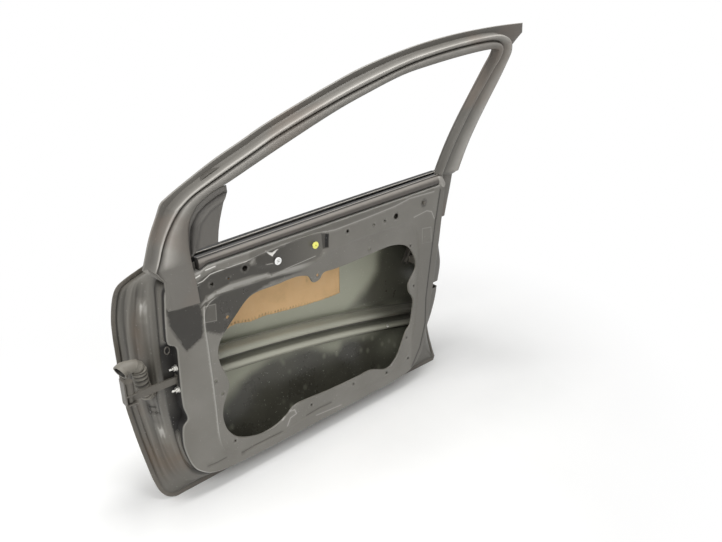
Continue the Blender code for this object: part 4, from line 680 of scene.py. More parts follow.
def maths(tree, operation, *values):
    return put(tree, "ShaderNodeMath", dict(enumerate(values)), operation=operation).outputs[0]


def blended(tree, share, under, over):
    """Colour over another by a share."""
    return put(tree, "ShaderNodeMix", {0: share, 6: under, 7: (*over, 1)}, data_type="RGBA").outputs[2]


def reading(tree, name):
    """Number painted on the mesh."""
    return put(tree, "ShaderNodeAttribute", attribute_name=name, attribute_type="GEOMETRY").outputs["Fac"]


def ramp_node(tree, factor, stops):
    made = put(tree, "ShaderNodeValToRGB", {0: factor})
    elements = made.color_ramp.elements
    for element, (position, colour) in zip((elements[0], elements[1]), (stops[0], stops[-1])):
        element.position = position
        element.color = (*colour, 1)
    for position, colour in stops[1:-1]:
        elements.new(position).color = (*colour, 1)
    return made.outputs[0]


def surface(name, dark, base, light, rough=0.45, spread=0.12, gloss_dark=0.0, blotch=0.12,
            blotch_scale=9.0, grain=700.0, grain_bump=0.2, wave=30.0, wave_bump=0.0, speck=0.0,
            rust=None, stretch=(1, 1, 1), metallic=0.0, specular=0.5, deep=None):
    """Painted, rubber or plastic surface: tone from the mesh, which carries painted highlights and shade,
    blotches, specks, grain and uneven gloss.
    """
    dark, base, light = rgb(dark), rgb(base), rgb(light)
    material = bpy.data.materials.new(name)
    material.use_nodes = True
    tree = material.node_tree
    shader = tree.nodes["Principled BSDF"]

    def texture(vector, scale, detail, **more):
        made = put(tree, "ShaderNodeTexNoise", {"Vector": vector, "Scale": scale, "Detail": detail, **more})
        return made.outputs[0]

    place = put(tree, "ShaderNodeTexCoord").outputs["Object"]
    pulled = put(tree, "ShaderNodeMapping", {"Vector": place, "Scale": stretch}).outputs[0]
    tone = reading(tree, "tone")
    cloudy = texture(pulled, blotch_scale, 6.0, Roughness=0.6)
    fine, waves = texture(place, grain, 2.0), texture(pulled, wave, 3.0)
    uneven = maths(tree, "ADD", cloudy, -0.5)
    shifted = maths(tree, "MULTIPLY_ADD", uneven, blotch * 2, tone)
    scaled = maths(tree, "MULTIPLY_ADD", shifted, 0.5, 0.5)
    stops = ((0.0, dark), (0.5, base), (1.0, light))
    # The deep colour and rougher finish go with the darkest tones: painted shade in holes, slots and gaps.
    if deep:
        stops = ((0.0, rgb(deep)), (0.07, dark), (0.5, base), (0.78, lerp(base, light, 0.42)), (1.0, light))
    colour = ramp_node(tree, scaled, stops)
    if rust:
        colour = blended(tree, maths(tree, "MULTIPLY", reading(tree, "rust"), waves), colour, rgb(rust))
    if speck:
        dots = {"Value": texture(place, SPECK_SCALE, 1.0), "From Min": 0.71, "From Max": 0.78}
        shown = put(tree, "ShaderNodeMapRange", dots).outputs[0]
        colour = blended(tree, maths(tree, "MULTIPLY", shown, speck), colour, light)
    tree.links.new(colour, shader.inputs["Base Color"])
    level = maths(tree, "MULTIPLY_ADD", uneven, spread * 2, rough)
    if gloss_dark:
        level = maths(tree, "MULTIPLY_ADD", tone, gloss_dark, level)
    if deep:
        holes = {"Value": tone, "From Min": -0.86, "From Max": -0.98, "To Max": 0.5}
        level = maths(tree, "ADD", level, put(tree, "ShaderNodeMapRange", holes).outputs[0])
    tree.links.new(level, shader.inputs["Roughness"])
    bump = put(tree, "ShaderNodeBump", {"Height": fine, "Strength": grain_bump, "Distance": GRAIN_DEEP})
    if wave_bump:
        bump = put(tree, "ShaderNodeBump", {"Height": waves, "Strength": wave_bump, "Distance": WAVE_DEEP,
                                            "Normal": bump.outputs[0]})
    tree.links.new(bump.outputs[0], shader.inputs["Normal"])
    shader.inputs["Metallic"].default_value = metallic
    shader.inputs["Specular IOR Level"].default_value = specular
    return material


def make_materials():
    return {
        "panel": surface("sprayed_panel_paint", (56, 53, 47), (112, 109, 102), (246, 244, 238), rough=0.42,
                         gloss_dark=0.16, blotch=0.07, speck=0.12, wave_bump=0.25, rust=(98, 78, 56),
                         deep=(20, 18, 16)),
        "frame": surface("sprayed_frame_paint", (62, 59, 54), (116, 113, 107), (214, 210, 203), rough=0.58,
                         gloss_dark=0.08, blotch=0.12, blotch_scale=22.0, speck=0.1, grain_bump=0.03,
                         rust=(118, 100, 86)),
        "skin": surface("green_grey_skin", (56, 54, 47), (163, 164, 146), (206, 207, 192), rough=0.42,
                        gloss_dark=0.14, blotch=0.10, speck=0.5, wave_bump=0.15),
        "beam": surface("green_grey_beam", (44, 42, 36), (164, 163, 148), (214, 213, 202), rough=0.4,
                        gloss_dark=0.12, blotch=0.12, blotch_scale=14.0, speck=0.2, stretch=(0.25, 1, 2)),
        "rubber": surface("worn_black_rubber", (14, 13, 12), (38, 36, 33), (212, 208, 200), rough=0.55,
                          blotch=0.15, blotch_scale=30.0, speck=0.3, grain_bump=0.3),
        "bar": surface("belt_bar_rubber", (20, 18, 16), (86, 81, 75), (182, 176, 168), rough=0.48,
                       blotch=0.12, blotch_scale=40.0, speck=0.25, grain_bump=0.3, stretch=(0.3, 1, 1)),
        "boot": surface("dusty_boot_rubber", (40, 38, 33), (116, 112, 103), (150, 145, 136), rough=0.6,
                        blotch=0.2, blotch_scale=40.0, speck=0.3, grain_bump=0.4),
        "plastic": surface("mirror_plate_plastic", (50, 47, 43), (104, 101, 96), (152, 148, 142), rough=0.52,
                           blotch=0.1, speck=0.25, grain=1600.0, grain_bump=0.4),
        "black": surface("matt_black_plastic", (14, 13, 12), (30, 28, 26), (70, 66, 60), rough=0.55,
                         blotch=0.15, speck=0.2, grain=1500.0),
        "steel": surface("coated_dark_steel", (38, 36, 32), (96, 92, 85), (150, 145, 136), rough=0.42,
                         blotch=0.2, blotch_scale=35.0, speck=0.3, metallic=0.2),
        "zinc": surface("bright_zinc", (120, 118, 112), (206, 204, 198), (236, 234, 230), rough=0.3,
                        blotch=0.25, blotch_scale=120.0, metallic=0.8, grain_bump=0.15),
        "white": surface("white_clip_plastic", (150, 150, 144), (252, 252, 250), (254, 254, 252), rough=0.4,
                         blotch=0.1, blotch_scale=150.0),
        "yellow": surface("yellow_clip_plastic", (150, 140, 30), (252, 249, 128), (254, 252, 190), rough=0.4,
                          blotch=0.1, blotch_scale=150.0),
        "felt": surface("brown_damping_felt", (92, 76, 56), (224, 186, 138), (236, 212, 172), rough=0.9,
                        blotch=0.2, blotch_scale=26.0, grain=420.0, grain_bump=0.8, wave=90.0, wave_bump=0.35,
                        speck=0.5, specular=0.2),
    }


# Inner panel.

def trim_depth(plan):
    """How far the pressed trim face lies outboard at each plan point."""
    x, z = plan[:, 0], plan[:, 1]
    out, deep = np.clip(signed(plan, RECESS_EDGE), 0, None), signed(plan, RECESS_FLOOR)
    share = np.where(deep > 0, 1.0, out / (out + np.clip(-deep, 1e-6, None)))
    y = RECESS_DEEP * ramp(share)
    edge = signed(plan, FIELD_LOOP)
    y += FIELD_DEEP * ramp(edge / 0.003) - 0.0007 * bell(edge / 0.0016) * ramp((0.24 - x) / 0.05)
    for loop, high, width in RAISED:
        y -= high * ramp(signed(plan, loop) / width)
    y -= BOSS_HIGH * ramp((BOSS_R - np.hypot(x - YELLOW_AT[0], z - YELLOW_AT[1])) / 0.003)
    y -= 0.0009 * bell((signed(plan, SQUARE) - 0.001) / 0.0016)
    for line in CREASES:
        y += CREASE_DEEP * bell(to_line(plan, line) / 0.0022)
    return y


def trim_tone(plan):
    """Painted highlights, painted shade and painted dark reflections of the sprayed trim face, over small
    random changes of its tone.
    """
    x, z = plan[:, 0], plan[:, 1]
    wobble = cloud([(p, 0.0, q) for p, q in plan], 38.0) * 0.004
    tone = np.full(len(plan), 0.03) + 0.05 * cloud([(p, 1.0, q) for p, q in plan], 9.0)

    def mix(mask, value):
        nonlocal tone
        tone = tone + (value - tone) * mask

    def fill(loop, value, width, grow=0.0, share=1.0):
        mix(ramp((signed(plan, loop) + grow) / width) * share, value)

    def rim(loop, value, width, share=1.0):
        mix(bell(signed(plan, loop) / width) * share, value)

    def draw(line, value, width, share=1.0):
        mix(bell(to_line(plan, line) / width) * share, value)

    # Painted dark reflections on the front strip, in the recess and on the field beside it.
    fill(PAINTED_REFLECTION_UPPER, -0.90, 0.004, wobble)
    out, deep = signed(plan, RECESS_EDGE), signed(plan, RECESS_FLOOR)
    mix(ramp((deep + 0.002) / 0.004) * (1 - 0.75 * ramp((x - 0.34) / 0.2)), -0.80)
    fill(PAINTED_REFLECTION_FIELD, -0.80, 0.003, wobble * 0.6 + 0.001)
    # Painted light on the recess's upward-facing lower wall.
    painted_light_low_wall = ramp((0.566 - z) / 0.01) * ramp((0.500 - x) / 0.06) * ramp((x - 0.16) / 0.02)
    mix(np.clip(out / 0.003, 0, 1) * np.clip((0.001 - deep) / 0.003, 0, 1) * painted_light_low_wall, 0.26)
    # Painted highlights on the field's left edge, round the square and on the pad rims; the square's inside a
    # little darker.
    rim(FIELD_LOOP, 0.40, 0.0020, ramp((0.215 - x) / 0.02) * ramp((z - 0.11) / 0.08))
    rim(SQUARE, 0.45, 0.0013, 0.8)
    fill(SQUARE, -0.15, 0.002, share=0.5)
    for pad in PADS:
        rim(pad, 0.35, 0.0013, 0.5)
    # Painted shade under the belt bar.
    fill(PAINTED_SHADE_TOP_BAND, -0.35, 0.005, 0.001, 0.6)
    # Painted highlight on the small dome, painted dark reflection on the large dome and a painted glint at
    # its top.
    fill(SMALL_DOME, 0.25, 0.006, 0.002, 0.9)
    fill(DOME, -0.80, 0.006, share=0.6)
    fill(GLINT, 1.0, 0.003, 0.001)
    # Painted highlight along the rounded fold at the top edge.
    mix(bell((np.array([fold_z(p) for p in x]) - z) / 0.0024), 0.35)
    # Painted highlight lines.
    for line, value, width in PAINTED_HIGHLIGHTS:
        draw(line, value, width)
    # Rear lower corner and rear strip painted darker, and a painted shadow line along the rear edge.
    mix(ramp((x - 0.885) / 0.02) * ramp((0.52 - z) / 0.05) * 0.7, -0.14)
    fill(REAR_STRIP, -0.25, 0.002, share=0.6)
    draw(REAR_PAINTED_SHADOW_LINE, -1.0, 0.0026)
    # Painted shade round the corner nut, and painted shade and shadow in the slot of the recess's end wall.
    mix(bell((np.hypot(x - NUT_AT[0], z - NUT_AT[1]) - 0.0095) / 0.0025), -0.85)
    fill(SLOT_SHADE, -0.78, 0.003, 0.001)
    fill(SLOT_PAINTED_SHADOW, -1.0, 0.003, 0.001)
    # Painted shade in the creases and a painted highlight along the opening's rolled rim.
    for line in CREASES:
        draw(line, -0.7, 0.002, 0.8)
    draw(RIM_PAINTED_HIGHLIGHT, 0.5, 0.0018, 0.8)
    # Painted shade at each hole's edge and a painted highlight ring beyond it.
    for hole_x, hole_z, radius in TRIM_HOLES:
        gap = np.hypot(x - hole_x, z - hole_z) - radius
        mix(bell((gap - 0.001) / 0.0012) * 0.6, -0.8)
        mix(bell((gap - 0.0032) / 0.0012) * 0.35, 0.35)
    return tone


def trim_points(edge, lines, holes, opening):
    """Grid of the trim face, with finer points beside each thin painted line."""
    extra = grid_points(edge, GRID, lines + holes, 0.0016)
    thin = [line for line, _, _ in PAINTED_HIGHLIGHTS] + list(CREASES) + [RIM_PAINTED_HIGHLIGHT, REAR_PAINTED_SHADOW_LINE]
    loops = [SQUARE, SLOT_SHADE, SLOT_PAINTED_SHADOW, GLINT] + list(PADS)
    fine = np.concatenate((beside(thin, False), beside(loops, True)))
    clear = np.ones(len(extra), bool)
    for closed, group in ((False, thin), (True, loops)):
        for line in group:
            clear &= to_line(extra, line, closed) > 0.0034
    good = signed(fine, edge) > 0.0012
    for line in lines + holes:
        good &= to_line(fine, line, True) > 0.0009
    for hole in holes:
        good &= signed(fine, hole) < 0
    extra = np.concatenate((extra[clear], fine[good]))
    return extra[signed(extra, opening) < 0]


def ring_profile(corner):
    """Points down the wall and over the hinge, sill or latch face, with how far along each lies."""
    trim, shoulder, ledge, flange, edge = corner
    away = Vector((shoulder[0] - trim[0], 0.0, shoulder[2] - trim[2])).normalized()
    base = Vector((trim[0], 0.0, trim[2]))
    rows = []
    for k in (1, 2, 3):
        a = math.radians(30 * k)
        turned_in = Vector((0, WALL_LEAN * (1 - math.cos(a)), 0))
        rows.append((base + away * WALL_LEAN * math.sin(a) + turned_in, -3 + k / 3))
    bottom = base + away * WALL_LEAN
    bottom.y = shoulder[1] - 0.003
    for k in (0.35, 0.7, 1.0):
        rows.append((rows[2][0].lerp(bottom, k), -2 + k))
    line = (Vector(shoulder), Vector(ledge), Vector(flange))

    def at(s):
        s = min(max(s, 0.0), 2.0)
        return line[0].lerp(line[1], s) if s <= 1 else line[1].lerp(line[2], s - 1)

    for k in range(RING_STEPS + 1):
        s = 2.0 * k / RING_STEPS
        inner = RING_SOFT < s < 2.0 - RING_SOFT
        rows.append(((at(s - RING_SOFT) + at(s + RING_SOFT)) / 2 if inner else at(s), s))
    rows.append((Vector(edge), 2.3))
    return rows


def hinge_relief(s, z):
    """Pressed relief of the hinge face: height, tone with painted sheen, highlights and shade, and rust at a
    share s and height z.
    """
    sway = 0.07 * math.sin(z * 17.0 + 0.6)
    bead, valley, front_bead = 1.36 + sway, 1.02 + sway, 0.28 - sway * 0.6
    fade = rise(z, 0.06, 0.06) * fall(z, 0.60, 0.05)
    boot = fall(abs(z - BOOT_SEAT_Z), 0.036, 0.012) * fall(abs(s - 0.72), 0.55, 0.15)
    clear = 1.0 - boot
    height = 0.0018 * hump(s, bead, 0.10) - 0.0018 * hump(s, 1.66, 0.07)
    height += 0.0016 * hump(s, front_bead, 0.08) - 0.0014 * hump(s, valley, 0.08)
    height += 0.0010 * math.sin(z * 55.0) * hump(s, 1.0 + sway, 0.16)
    # Painted sheen streaks down the glossy face.
    painted_sheen = noise.noise(Vector((s * 9.0 + sway * 6.0, z * 4.0, 2.0)))
    painted_sheen += 0.5 * noise.noise(Vector((s * 26.0, z * 9.0, 5.0)))
    tone = -0.42 + 0.34 * painted_sheen
    # Painted highlights on the beads, painted shade in the grooves and at the face's edges.
    tone += 0.42 * hump(s, bead, 0.07) + 0.30 * hump(s, front_bead, 0.06)
    tone -= 0.42 * hump(s, 1.62, 0.06) + 0.35 * hump(s, valley, 0.08)
    tone += 0.22 * hump(s, 0.45, 0.14) * rise(z, 0.36, 0.06)
    tone -= 0.35 * hump(s, 2.0, 0.08) + 0.6 * fall(s, 0.09, 0.06)
    rust = 0.8 * hump(z, 0.45, 0.07) * hump(s, 0.95, 0.3) + 0.8 * hump(z, 0.11, 0.06)
    rust += 0.4 * hump(z, 0.26, 0.05) * hump(s, 1.5, 0.3)
    for centre, middle in HINGE_SEATS:
        across, up = (s - middle) * HINGE_WIDTH, z - centre
        seat = fall(abs(across), 0.019, 0.006) * fall(abs(up + 0.008), 0.036, 0.008)
        ring = math.hypot(across, up * 0.8)
        height += 0.0012 * seat
        height -= 0.0024 * hump(ring, 0.0, 0.0055) - 0.0009 * hump(ring, 0.010, 0.003)
        # Painted highlight on each hinge seat and in its dimple.
        tone += 0.22 * seat + 0.95 * hump(ring, 0.0, 0.0060) + 0.25 * hump(ring, 0.012, 0.003)
    across, up = (s - 0.72) * HINGE_WIDTH, z - WELL_Z
    edge = max(abs(across) - 0.0135, abs(up) - 0.030)
    height -= 0.0028 * fall(edge, 0.003, 0.004) * clear
    # Painted shade round the well, and painted shadow where its two slots are.
    tone -= 0.45 * hump(edge, 0.0, 0.0022)
    for level, shift in WELL_SLOTS:
        tone -= 1.2 * fall(abs(across - shift), 0.0085, 0.002) * fall(abs(z - level), 0.0042, 0.002)
    return height * fade * clear, tone, min(rust, 1.0)


def ring_look(s, station, z):
    """Tone, rust and height at a share s of the wall and face of a station."""
    front = rise(station, 2.2, 1.5) * fall(station, 16.0, 2.0)
    if s >= 0:
        height, tone, rust = hinge_relief(s, z)
        # Away from the hinge face: painted shade near the foot of the wall.
        tone = tone * front + (1 - front) * (-0.25 - 0.6 * fall(s, 0.25, 0.25))
        return tone, rust * front, height * front * rise(s, 0.0, 0.15) * fall(s, 2.0, 0.1)
    if s < -2.0:
        # Painted highlight on the trim's rounded edge, turning into a painted shadow line along the rear
        # edge.
        tone = 0.12 + 0.33 * rise(station, 14.0, 2.0) * fall(station, 25.0, 2.0)
        return tone + (-0.95 - tone) * rise(station, 25.5, 1.0), 0.0, 0.0
    # Painted shade down the wall, in the pocket and at the sill.
    pocket = rise(station, 6.2, 0.6) * fall(station, 12.9, 0.6)
    sill = rise(station, 14.0, 1.5) + fall(station, 3.0, 1.0)
    painted_wall_shade = -1.0 if s < -1.5 else -0.05 - 0.95 * pocket
    low = -0.80 + 0.40 * rise(station, 10.5, 1.5) if s < -1.45 else -1.0
    return painted_wall_shade + (low - painted_wall_shade) * sill, 0.0, 0.0


def make_panel(material):
    hem = smooth([s[0] for s in STATIONS], STEPS, HEM_CORNERS)
    ledge, shoulder, trim = (smooth([s[k] for s in STATIONS]) for k in (1, 2, 3))
    drop = SKIN_T + SHEET_GAP + PANEL_T
    flange, rim_line = ([(x, skin_y(x, z) - drop, z) for x, z in hem_inset(hem, distance)]
                        for distance in (FLANGE_WIDTH, FLANGE_INSET))
    edge = [tuple(p) for p in trim] + [(x, fold_z(x)) for x in between(trim[-1][0], trim[0][0], 150)]
    opening = smooth_loop(OPENING)
    holes = [[(x + r * math.cos(a), z + r * math.sin(a)) for a in circle(16)] for x, z, r in TRIM_HOLES]
    lines = [opening, inset(opening, -0.004), FIELD_LOOP, inset(FIELD_LOOP, 0.003),
             RECESS_EDGE, RECESS_FLOOR, SQUARE]
    extra = trim_points(edge, lines, holes, opening)
    bm = bmesh.new()
    found = triangulated(bm, [edge] + lines + holes, [opening] + holes, extra, trim_depth)
    rim = [found[k] for k in range(len(edge))]
    mouth = [found[len(edge) + k] for k in range(len(opening))]
    start = mouth
    for distance, deep in MOUTH_ROLL:
        rolled = zip(inset(opening, distance), mouth)
        ring = [bm.verts.new((x, v.co.y + deep, z)) for (x, z), v in rolled]
        bridge(bm, start, ring, True)
        start = ring
    rows = []
    for i, (x, z) in enumerate(trim):
        profile = ring_profile(((x, 0.0, z), shoulder[i], ledge[i], flange[i], rim_line[i]))
        across = (profile[-2][0] - profile[6][0]).normalized()
        normal = Vector((-across.y, across.x, 0.0)).normalized()
        row = []
        for point, s in profile:
            tone, rust, height = ring_look(s, i / STEPS, point.z)
            row.append((bm.verts.new(point + normal * height), tone, rust))
        rows.append(row)
    start = rim[:len(trim)]
    for ring in zip(*rows):
        line = [v for v, _, _ in ring]
        bridge(bm, start, line)
        start = line
    belt = [rim[len(trim) - 1]] + rim[len(trim):] + [rim[0]]
    start = belt
    for dy, dz in BELT_TURN:
        line = [min(v.co.x, BELT_FLANGE_END) if dz == BELT_FLANGE_RISE else v.co.x for v in belt]
        above = [bm.verts.new((x, dy, fold_z(x) + dz)) for x in line]
        bridge(bm, start, above)
        start = above
    bm.verts.index_update()
    painted = {v.index: (tone, rust) for row in rows for v, tone, rust in row}
    mesh = face_towards(mesh_from("panel", bm, 42.0), Vector((0, -1, 0)))
    place = positions(mesh)
    tone, rust = trim_tone(place[:, [0, 2]]), np.zeros(len(place))
    for index, look in painted.items():
        tone[index], rust[index] = look
    paint(mesh, "tone", tone)
    paint(mesh, "rust", rust)
    slot = (0.02, ARM_T + 2 * SLOT_GAP, ARM_HEIGHT + 2 * SLOT_GAP)
    tools = [box_cutter((NOTCH_X + 0.05, 0.062, NOTCH_Z), (0.10, 0.044, NOTCH_HEIGHT)),
             box_cutter((POCKET_X, ARM_Y, ARM_Z), slot)]
    mesh = applied(mesh, thick(PANEL_T, -1.0), cut_with(tools))
    mesh.set_sharp_from_angle(angle=math.radians(42.0))
    add_piece("look_inner_panel", mesh, material, ["inner_panel"])


# Outer skin, beam and felt.

def make_skin(material, paint_outside):
    hem = smooth([s[0] for s in STATIONS], STEPS, HEM_CORNERS)
    inner = hem_inset(hem, FLANGE_WIDTH)
    half, stack = SKIN_T / 2, 2 * SHEET_GAP + PANEL_T + SKIN_T
    edge = inner + [(x, shoulder_z(x) - 0.006) for x in between(inner[-1][0], inner[0][0], 90)]
    (hx, hz), (wide, high) = HANDLE_AT, HANDLE_SIZE
    dishes = [[(hx + wide * k * math.cos(a), hz + high * k * math.sin(a)) for a in circle(48)]
              for k in (1.0, 0.55)]

    def depth(plan):
        far = np.hypot((plan[:, 0] - hx) / wide, (plan[:, 1] - hz) / high)
        return skin_at(plan) - half - HANDLE_DEEP * ramp((1.0 - far) / 0.42)

    extra = grid_points(edge, SKIN_GRID, dishes, 0.003)
    bm = bmesh.new()
    found = triangulated(bm, [edge] + dishes, [], extra, depth)
    rim = [found[k] for k in range(len(edge))]
    start = rim[:len(inner)]
    for distance, drop in ((HEM_TURN, 0.0), (0.0004, 0.0006), (0.0, stack / 2), (0.0004, stack - 0.0006),
                           (HEM_TURN, stack), (HEM_RETURN, stack)):
        ring = [bm.verts.new((x, skin_y(x, z) - half - drop, z))
                for x, z in hem_inset(hem, distance + HEM_ROOM)]
        bridge(bm, start, ring)
        start = ring
    belt = [rim[len(inner) - 1]] + rim[len(inner):] + [rim[0]]
    start = belt
    for dy, dz, share in SHOULDER_TURN:
        line = [MID_X + (v.co.x - MID_X) * share for v in belt]
        tops = [shoulder_z(x) for x in line]
        above = [bm.verts.new((x, skin_y(x, top) - half - dy, top + dz)) for x, top in zip(line, tops)]
        bridge(bm, start, above)
        start = above
    mesh = face_towards(mesh_from("skin", bm, 40.0), Vector((0, 1, 0)))
    mesh = applied(mesh, thick(SKIN_T, 0.0))
    mesh.set_sharp_from_angle(angle=math.radians(40.0))
    place = positions(mesh)
    plan = place[:, [0, 2]]
    wobble = cloud(place, 11.0, 3.0) * 0.022
    # Painted light on the upper part of the skin's inside, and painted shadows low down and at the rear.
    tone = 0.10 * cloud(place, 6.0, 8.0) + 0.12 * ramp((plan[:, 1] - 0.33) / 0.1)
    for loop, width, value in ((SKIN_PAINTED_SHADOW_LOW, 0.045, -0.93), (SKIN_PAINTED_SHADOW_REAR, 0.055, -0.85)):
        mask = ramp((signed(plan, loop) + wobble + width * 0.4) / width)
        tone = tone + (value - tone) * mask
    # A lighter patch inside the painted shadow, low at the rear.
    patch = bell((plan[:, 0] - 0.90) / 0.07) * bell((plan[:, 1] - 0.125) / 0.045)
    tone = tone + (-0.35 - tone) * patch * 0.8
    dust = ramp((cloud(place, 60.0, 21.0) - 0.50) / 0.12) * ramp((0.24 - plan[:, 1]) / 0.05)
    bare = (place[:, 1] < depth(plan)) & (signed(plan, edge) > -0.0005)
    paint(mesh, "tone", np.where(bare, tone + dust * 0.35, -0.35 + 0.1 * cloud(place, 12.0, 14.0)))
    paint(mesh, "rust", np.where(bare, 0.0, 0.25))
    add_piece("look_outer_skin", mesh, material, ["outer_skin"])
    mesh.materials.append(paint_outside)
    for face in mesh.polygons:
        face.material_index = 0 if all(bare[i] for i in face.vertices) else 1


def make_beam(material, steel):
    section = smooth(BEAM_SECTION, 4)
    rows = []
    for i in range(BEAM_STEPS + 1):
        x = BEAM_X[0] + (BEAM_X[1] - BEAM_X[0]) * i / BEAM_STEPS
        levels = [(beam_top(x) - drop, away) for drop, away in section]
        rows.append([(x, skin_y(x, z) - SKIN_T - away, z) for z, away in levels])
    mesh = face_towards(grid_mesh("beam", rows, angle=50.0), Vector((0, -1, 0)))
    mesh = applied(mesh, thick(BEAM_T, 0.0))
    place = positions(mesh)
    drop = np.array([beam_top(x) for x in place[:, 0]]) - place[:, 2]
    tone = 0.08 * cloud(place, 10.0, 5.0) - 0.40
    # Painted highlights on the ridges, painted shade in the valley, and thin dark lines.
    for middle, width, value in BEAM_PAINTED_LIGHT_AND_SHADE:
        tone += value * bell((drop - middle) / width)
    # Painted shade over the rear part of the beam, less on its lowest ridge.
    far = ramp((place[:, 0] - 0.66) / 0.22)
    tone = tone + (-0.85 - tone) * far * (1.0 - 0.75 * bell((drop - 0.064) / 0.010)) * 0.9
    paint(mesh, "tone", tone)
    add_piece("look_side_beam", mesh, material, ["side_beam"])
    z = beam_top(SCREW_X) - SCREW_DROP
    y = skin_y(SCREW_X, z) - SKIN_T - BEAM_RIDGE - BEAM_T / 2 - 0.0001
    mesh = turned("beam_screw", SCREW_PROFILE, (SCREW_X, y, z), (0, -1, 0), 12)
    add_piece("look_beam_screw", mesh, steel, [])


def make_felt(material):
    outline = []
    for a, b in zip(FELT_OUTLINE, FELT_OUTLINE[1:] + FELT_OUTLINE[:1]):
        n = max(1, round(math.dist(a, b) / 0.003))
        outline += [lerp(a, b, k / n) for k in range(n)]
    outline = [(x, z + 0.0022 * noise.noise(Vector((x * 260, 0.0, z * 260)))) for x, z in outline]
    extra = grid_points(outline, 0.005, [outline], 0.002)

    def depth(plan):
        bump = cloud([(x, 0.0, z) for x, z in plan], 24.0, 4.0) * 0.0007
        return skin_at(plan) - SKIN_T - PAD_GAP - 0.0005 + np.minimum(bump, 0.0)

    bm = bmesh.new()
    triangulated(bm, [outline], [], extra, depth)
    mesh = face_towards(mesh_from("felt", bm, 60.0), Vector((0, -1, 0)))
    mesh = applied(mesh, thick(PAD_T - 0.0006, 1.0))
    place = positions(mesh)
    plan = place[:, [0, 2]]
    low = to_line(plan, FELT_OUTLINE[3:])
    beat = np.sin(plan[:, 0] * 2 * math.pi / STITCH_STEP)
    stitch = bell((low - 0.0045) / 0.003) * ramp((beat + 0.1) / 0.4)
    stitch *= ramp((0.61 - plan[:, 0]) / 0.15)
    # Dark stitches, and painted shade along the crease.
    tone = 0.12 * cloud(place, 20.0, 9.0) - 0.75 * stitch - 0.25 * bell(to_line(plan, FELT_CREASE) / 0.0025)
    paint(mesh, "tone", tone)
    add_piece("look_damping_pad", mesh, material, ["damping_pad"])


# Window frame, glass run, belt and mirror plate.

def step_in(start, end, distance):
    return lerp(start, end, distance / math.dist(start, end))


def frame_outlines():
    return (smooth(LIP, STEPS, LIP_CORNERS),
            *(smooth(line, STEPS, LEG_BREAKS) for line in (BAND, GROOVE, WINDOW)))


def frame_point(index, plan, depth):
    station = index / STEPS
    x, z = plan
    y = frame_y(z) + depth
    plate = -LEG_PLATE_T - SEAT + depth * LEG_PLATE_T / FRAME_DEPTH
    foot = LEG_FACE_Y + depth * (LEDGE_Y - 2 * SEAT - LEG_FACE_Y) / FRAME_DEPTH
    if station < 3:
        y += (plate - y) * min(3 - station, 1.0)
    if station > 29:
        y += (foot - y) * min(station - 29, 1.0)
    return (x, y, z)


# Sections between the outlines: share of the way, depth and tone; the tone paints highlights on the rounded
# band and ridge, and shade in the groove.
OUTER_SIDE = ((0.0, 0.0460, 0.25), (0.07, 0.0440, -0.35), (0.5, 0.0418, -0.42), (0.93, 0.0402, -0.4))
RIDGE = (
    (0.0, 0.0385, -0.5), (0.08, 0.0280, -0.5), (0.13, 0.0165, -0.25), (0.20, 0.0100, 0.10),
    (0.32, 0.0062, 0.52), (0.50, 0.0048, 0.30), (0.70, 0.0052, 0.08), (0.83, 0.0064, -0.1),
    (0.94, 0.0100, -0.7), (1.0, 0.0118, -1.0),
)
INNER_BAND = (
    (0.05, 0.0100, -0.8), (0.11, 0.0052, 0.0), (0.22, 0.0020, 0.36), (0.45, 0.0003, 0.15),
    (0.70, 0.0000, 0.0), (0.88, 0.0008, -0.1), (1.0, 0.0032, -0.4),
)


def frame_section(lip, band, groove, window):
    deep, outer = step_in(window, lip, RUN_DEPTH), step_in(window, lip, RUN_SETBACK)
    ring = []
    for start, end, rows in ((lip, band, OUTER_SIDE), (band, groove, RIDGE), (groove, window, INNER_BAND)):
        ring += [(lerp(start, end, t), d, tone) for t, d, tone in rows]
    # Painted shade inside the glass run's channel.
    ring += [(window, 0.012, -0.6), (window, RUN_BOTTOM, -0.6), (deep, RUN_BOTTOM, -0.8),
             (deep, RUN_TOP, -0.8), (outer, RUN_TOP, -0.6), (outer, 0.048, -0.3), (lip, FRAME_DEPTH, -0.2)]
    return ring


def make_frame(material):
    rows, tones = [], []
    for i, outline in enumerate(zip(*frame_outlines())):
        section = frame_section(*outline)
        rows.append([frame_point(i, p, d) for p, d, _ in section])
        station = i / STEPS
        leg = max(0.0, min(1.0, (3.6 - station) / 0.8), min(1.0, (station - 28.6) / 0.8))
        tones += [tone * (1 - leg) - 0.12 * leg for _, _, tone in section]
    mesh = grid_mesh("frame", rows, closed=True, caps=True, angle=38.0)
    place = positions(mesh)
    paint(mesh, "tone", np.array(tones) + 0.08 * cloud(place, 14.0, 2.0))
    paint(mesh, "rust", 0.45 * ramp((cloud(place, 9.0, 17.0) - 0.05) / 0.3))
    add_piece("look_window_frame", mesh, material, ["window_frame"])


def make_run(material):
    lip, _, _, window = frame_outlines()
    low, high = RUN_BOTTOM + SEAT, RUN_TOP - SEAT
    reaches = (0.001, RUN_SETBACK + 0.001, RUN_DEPTH - 0.003, RUN_DEPTH - 0.001)
    rows = []
    for i in range(RUN_FIRST * STEPS, RUN_LAST * STEPS + 1):
        mouth, outer, back, deep = (step_in(window[i], lip[i], reach) for reach in reaches)
        ring = ((mouth, low), (deep, low), (deep, high), (outer, high), (outer, high - RUN_WALL),
                (back, high - RUN_WALL), (back, low + RUN_WALL), (mouth, low + RUN_WALL))
        rows.append([(p[0], frame_y(p[1]) + d, p[1]) for p, d in ring])
    mesh = grid_mesh("run", rows, closed=True, caps=True)
    add_piece("look_glass_run", mesh, material, ["glass_run"])


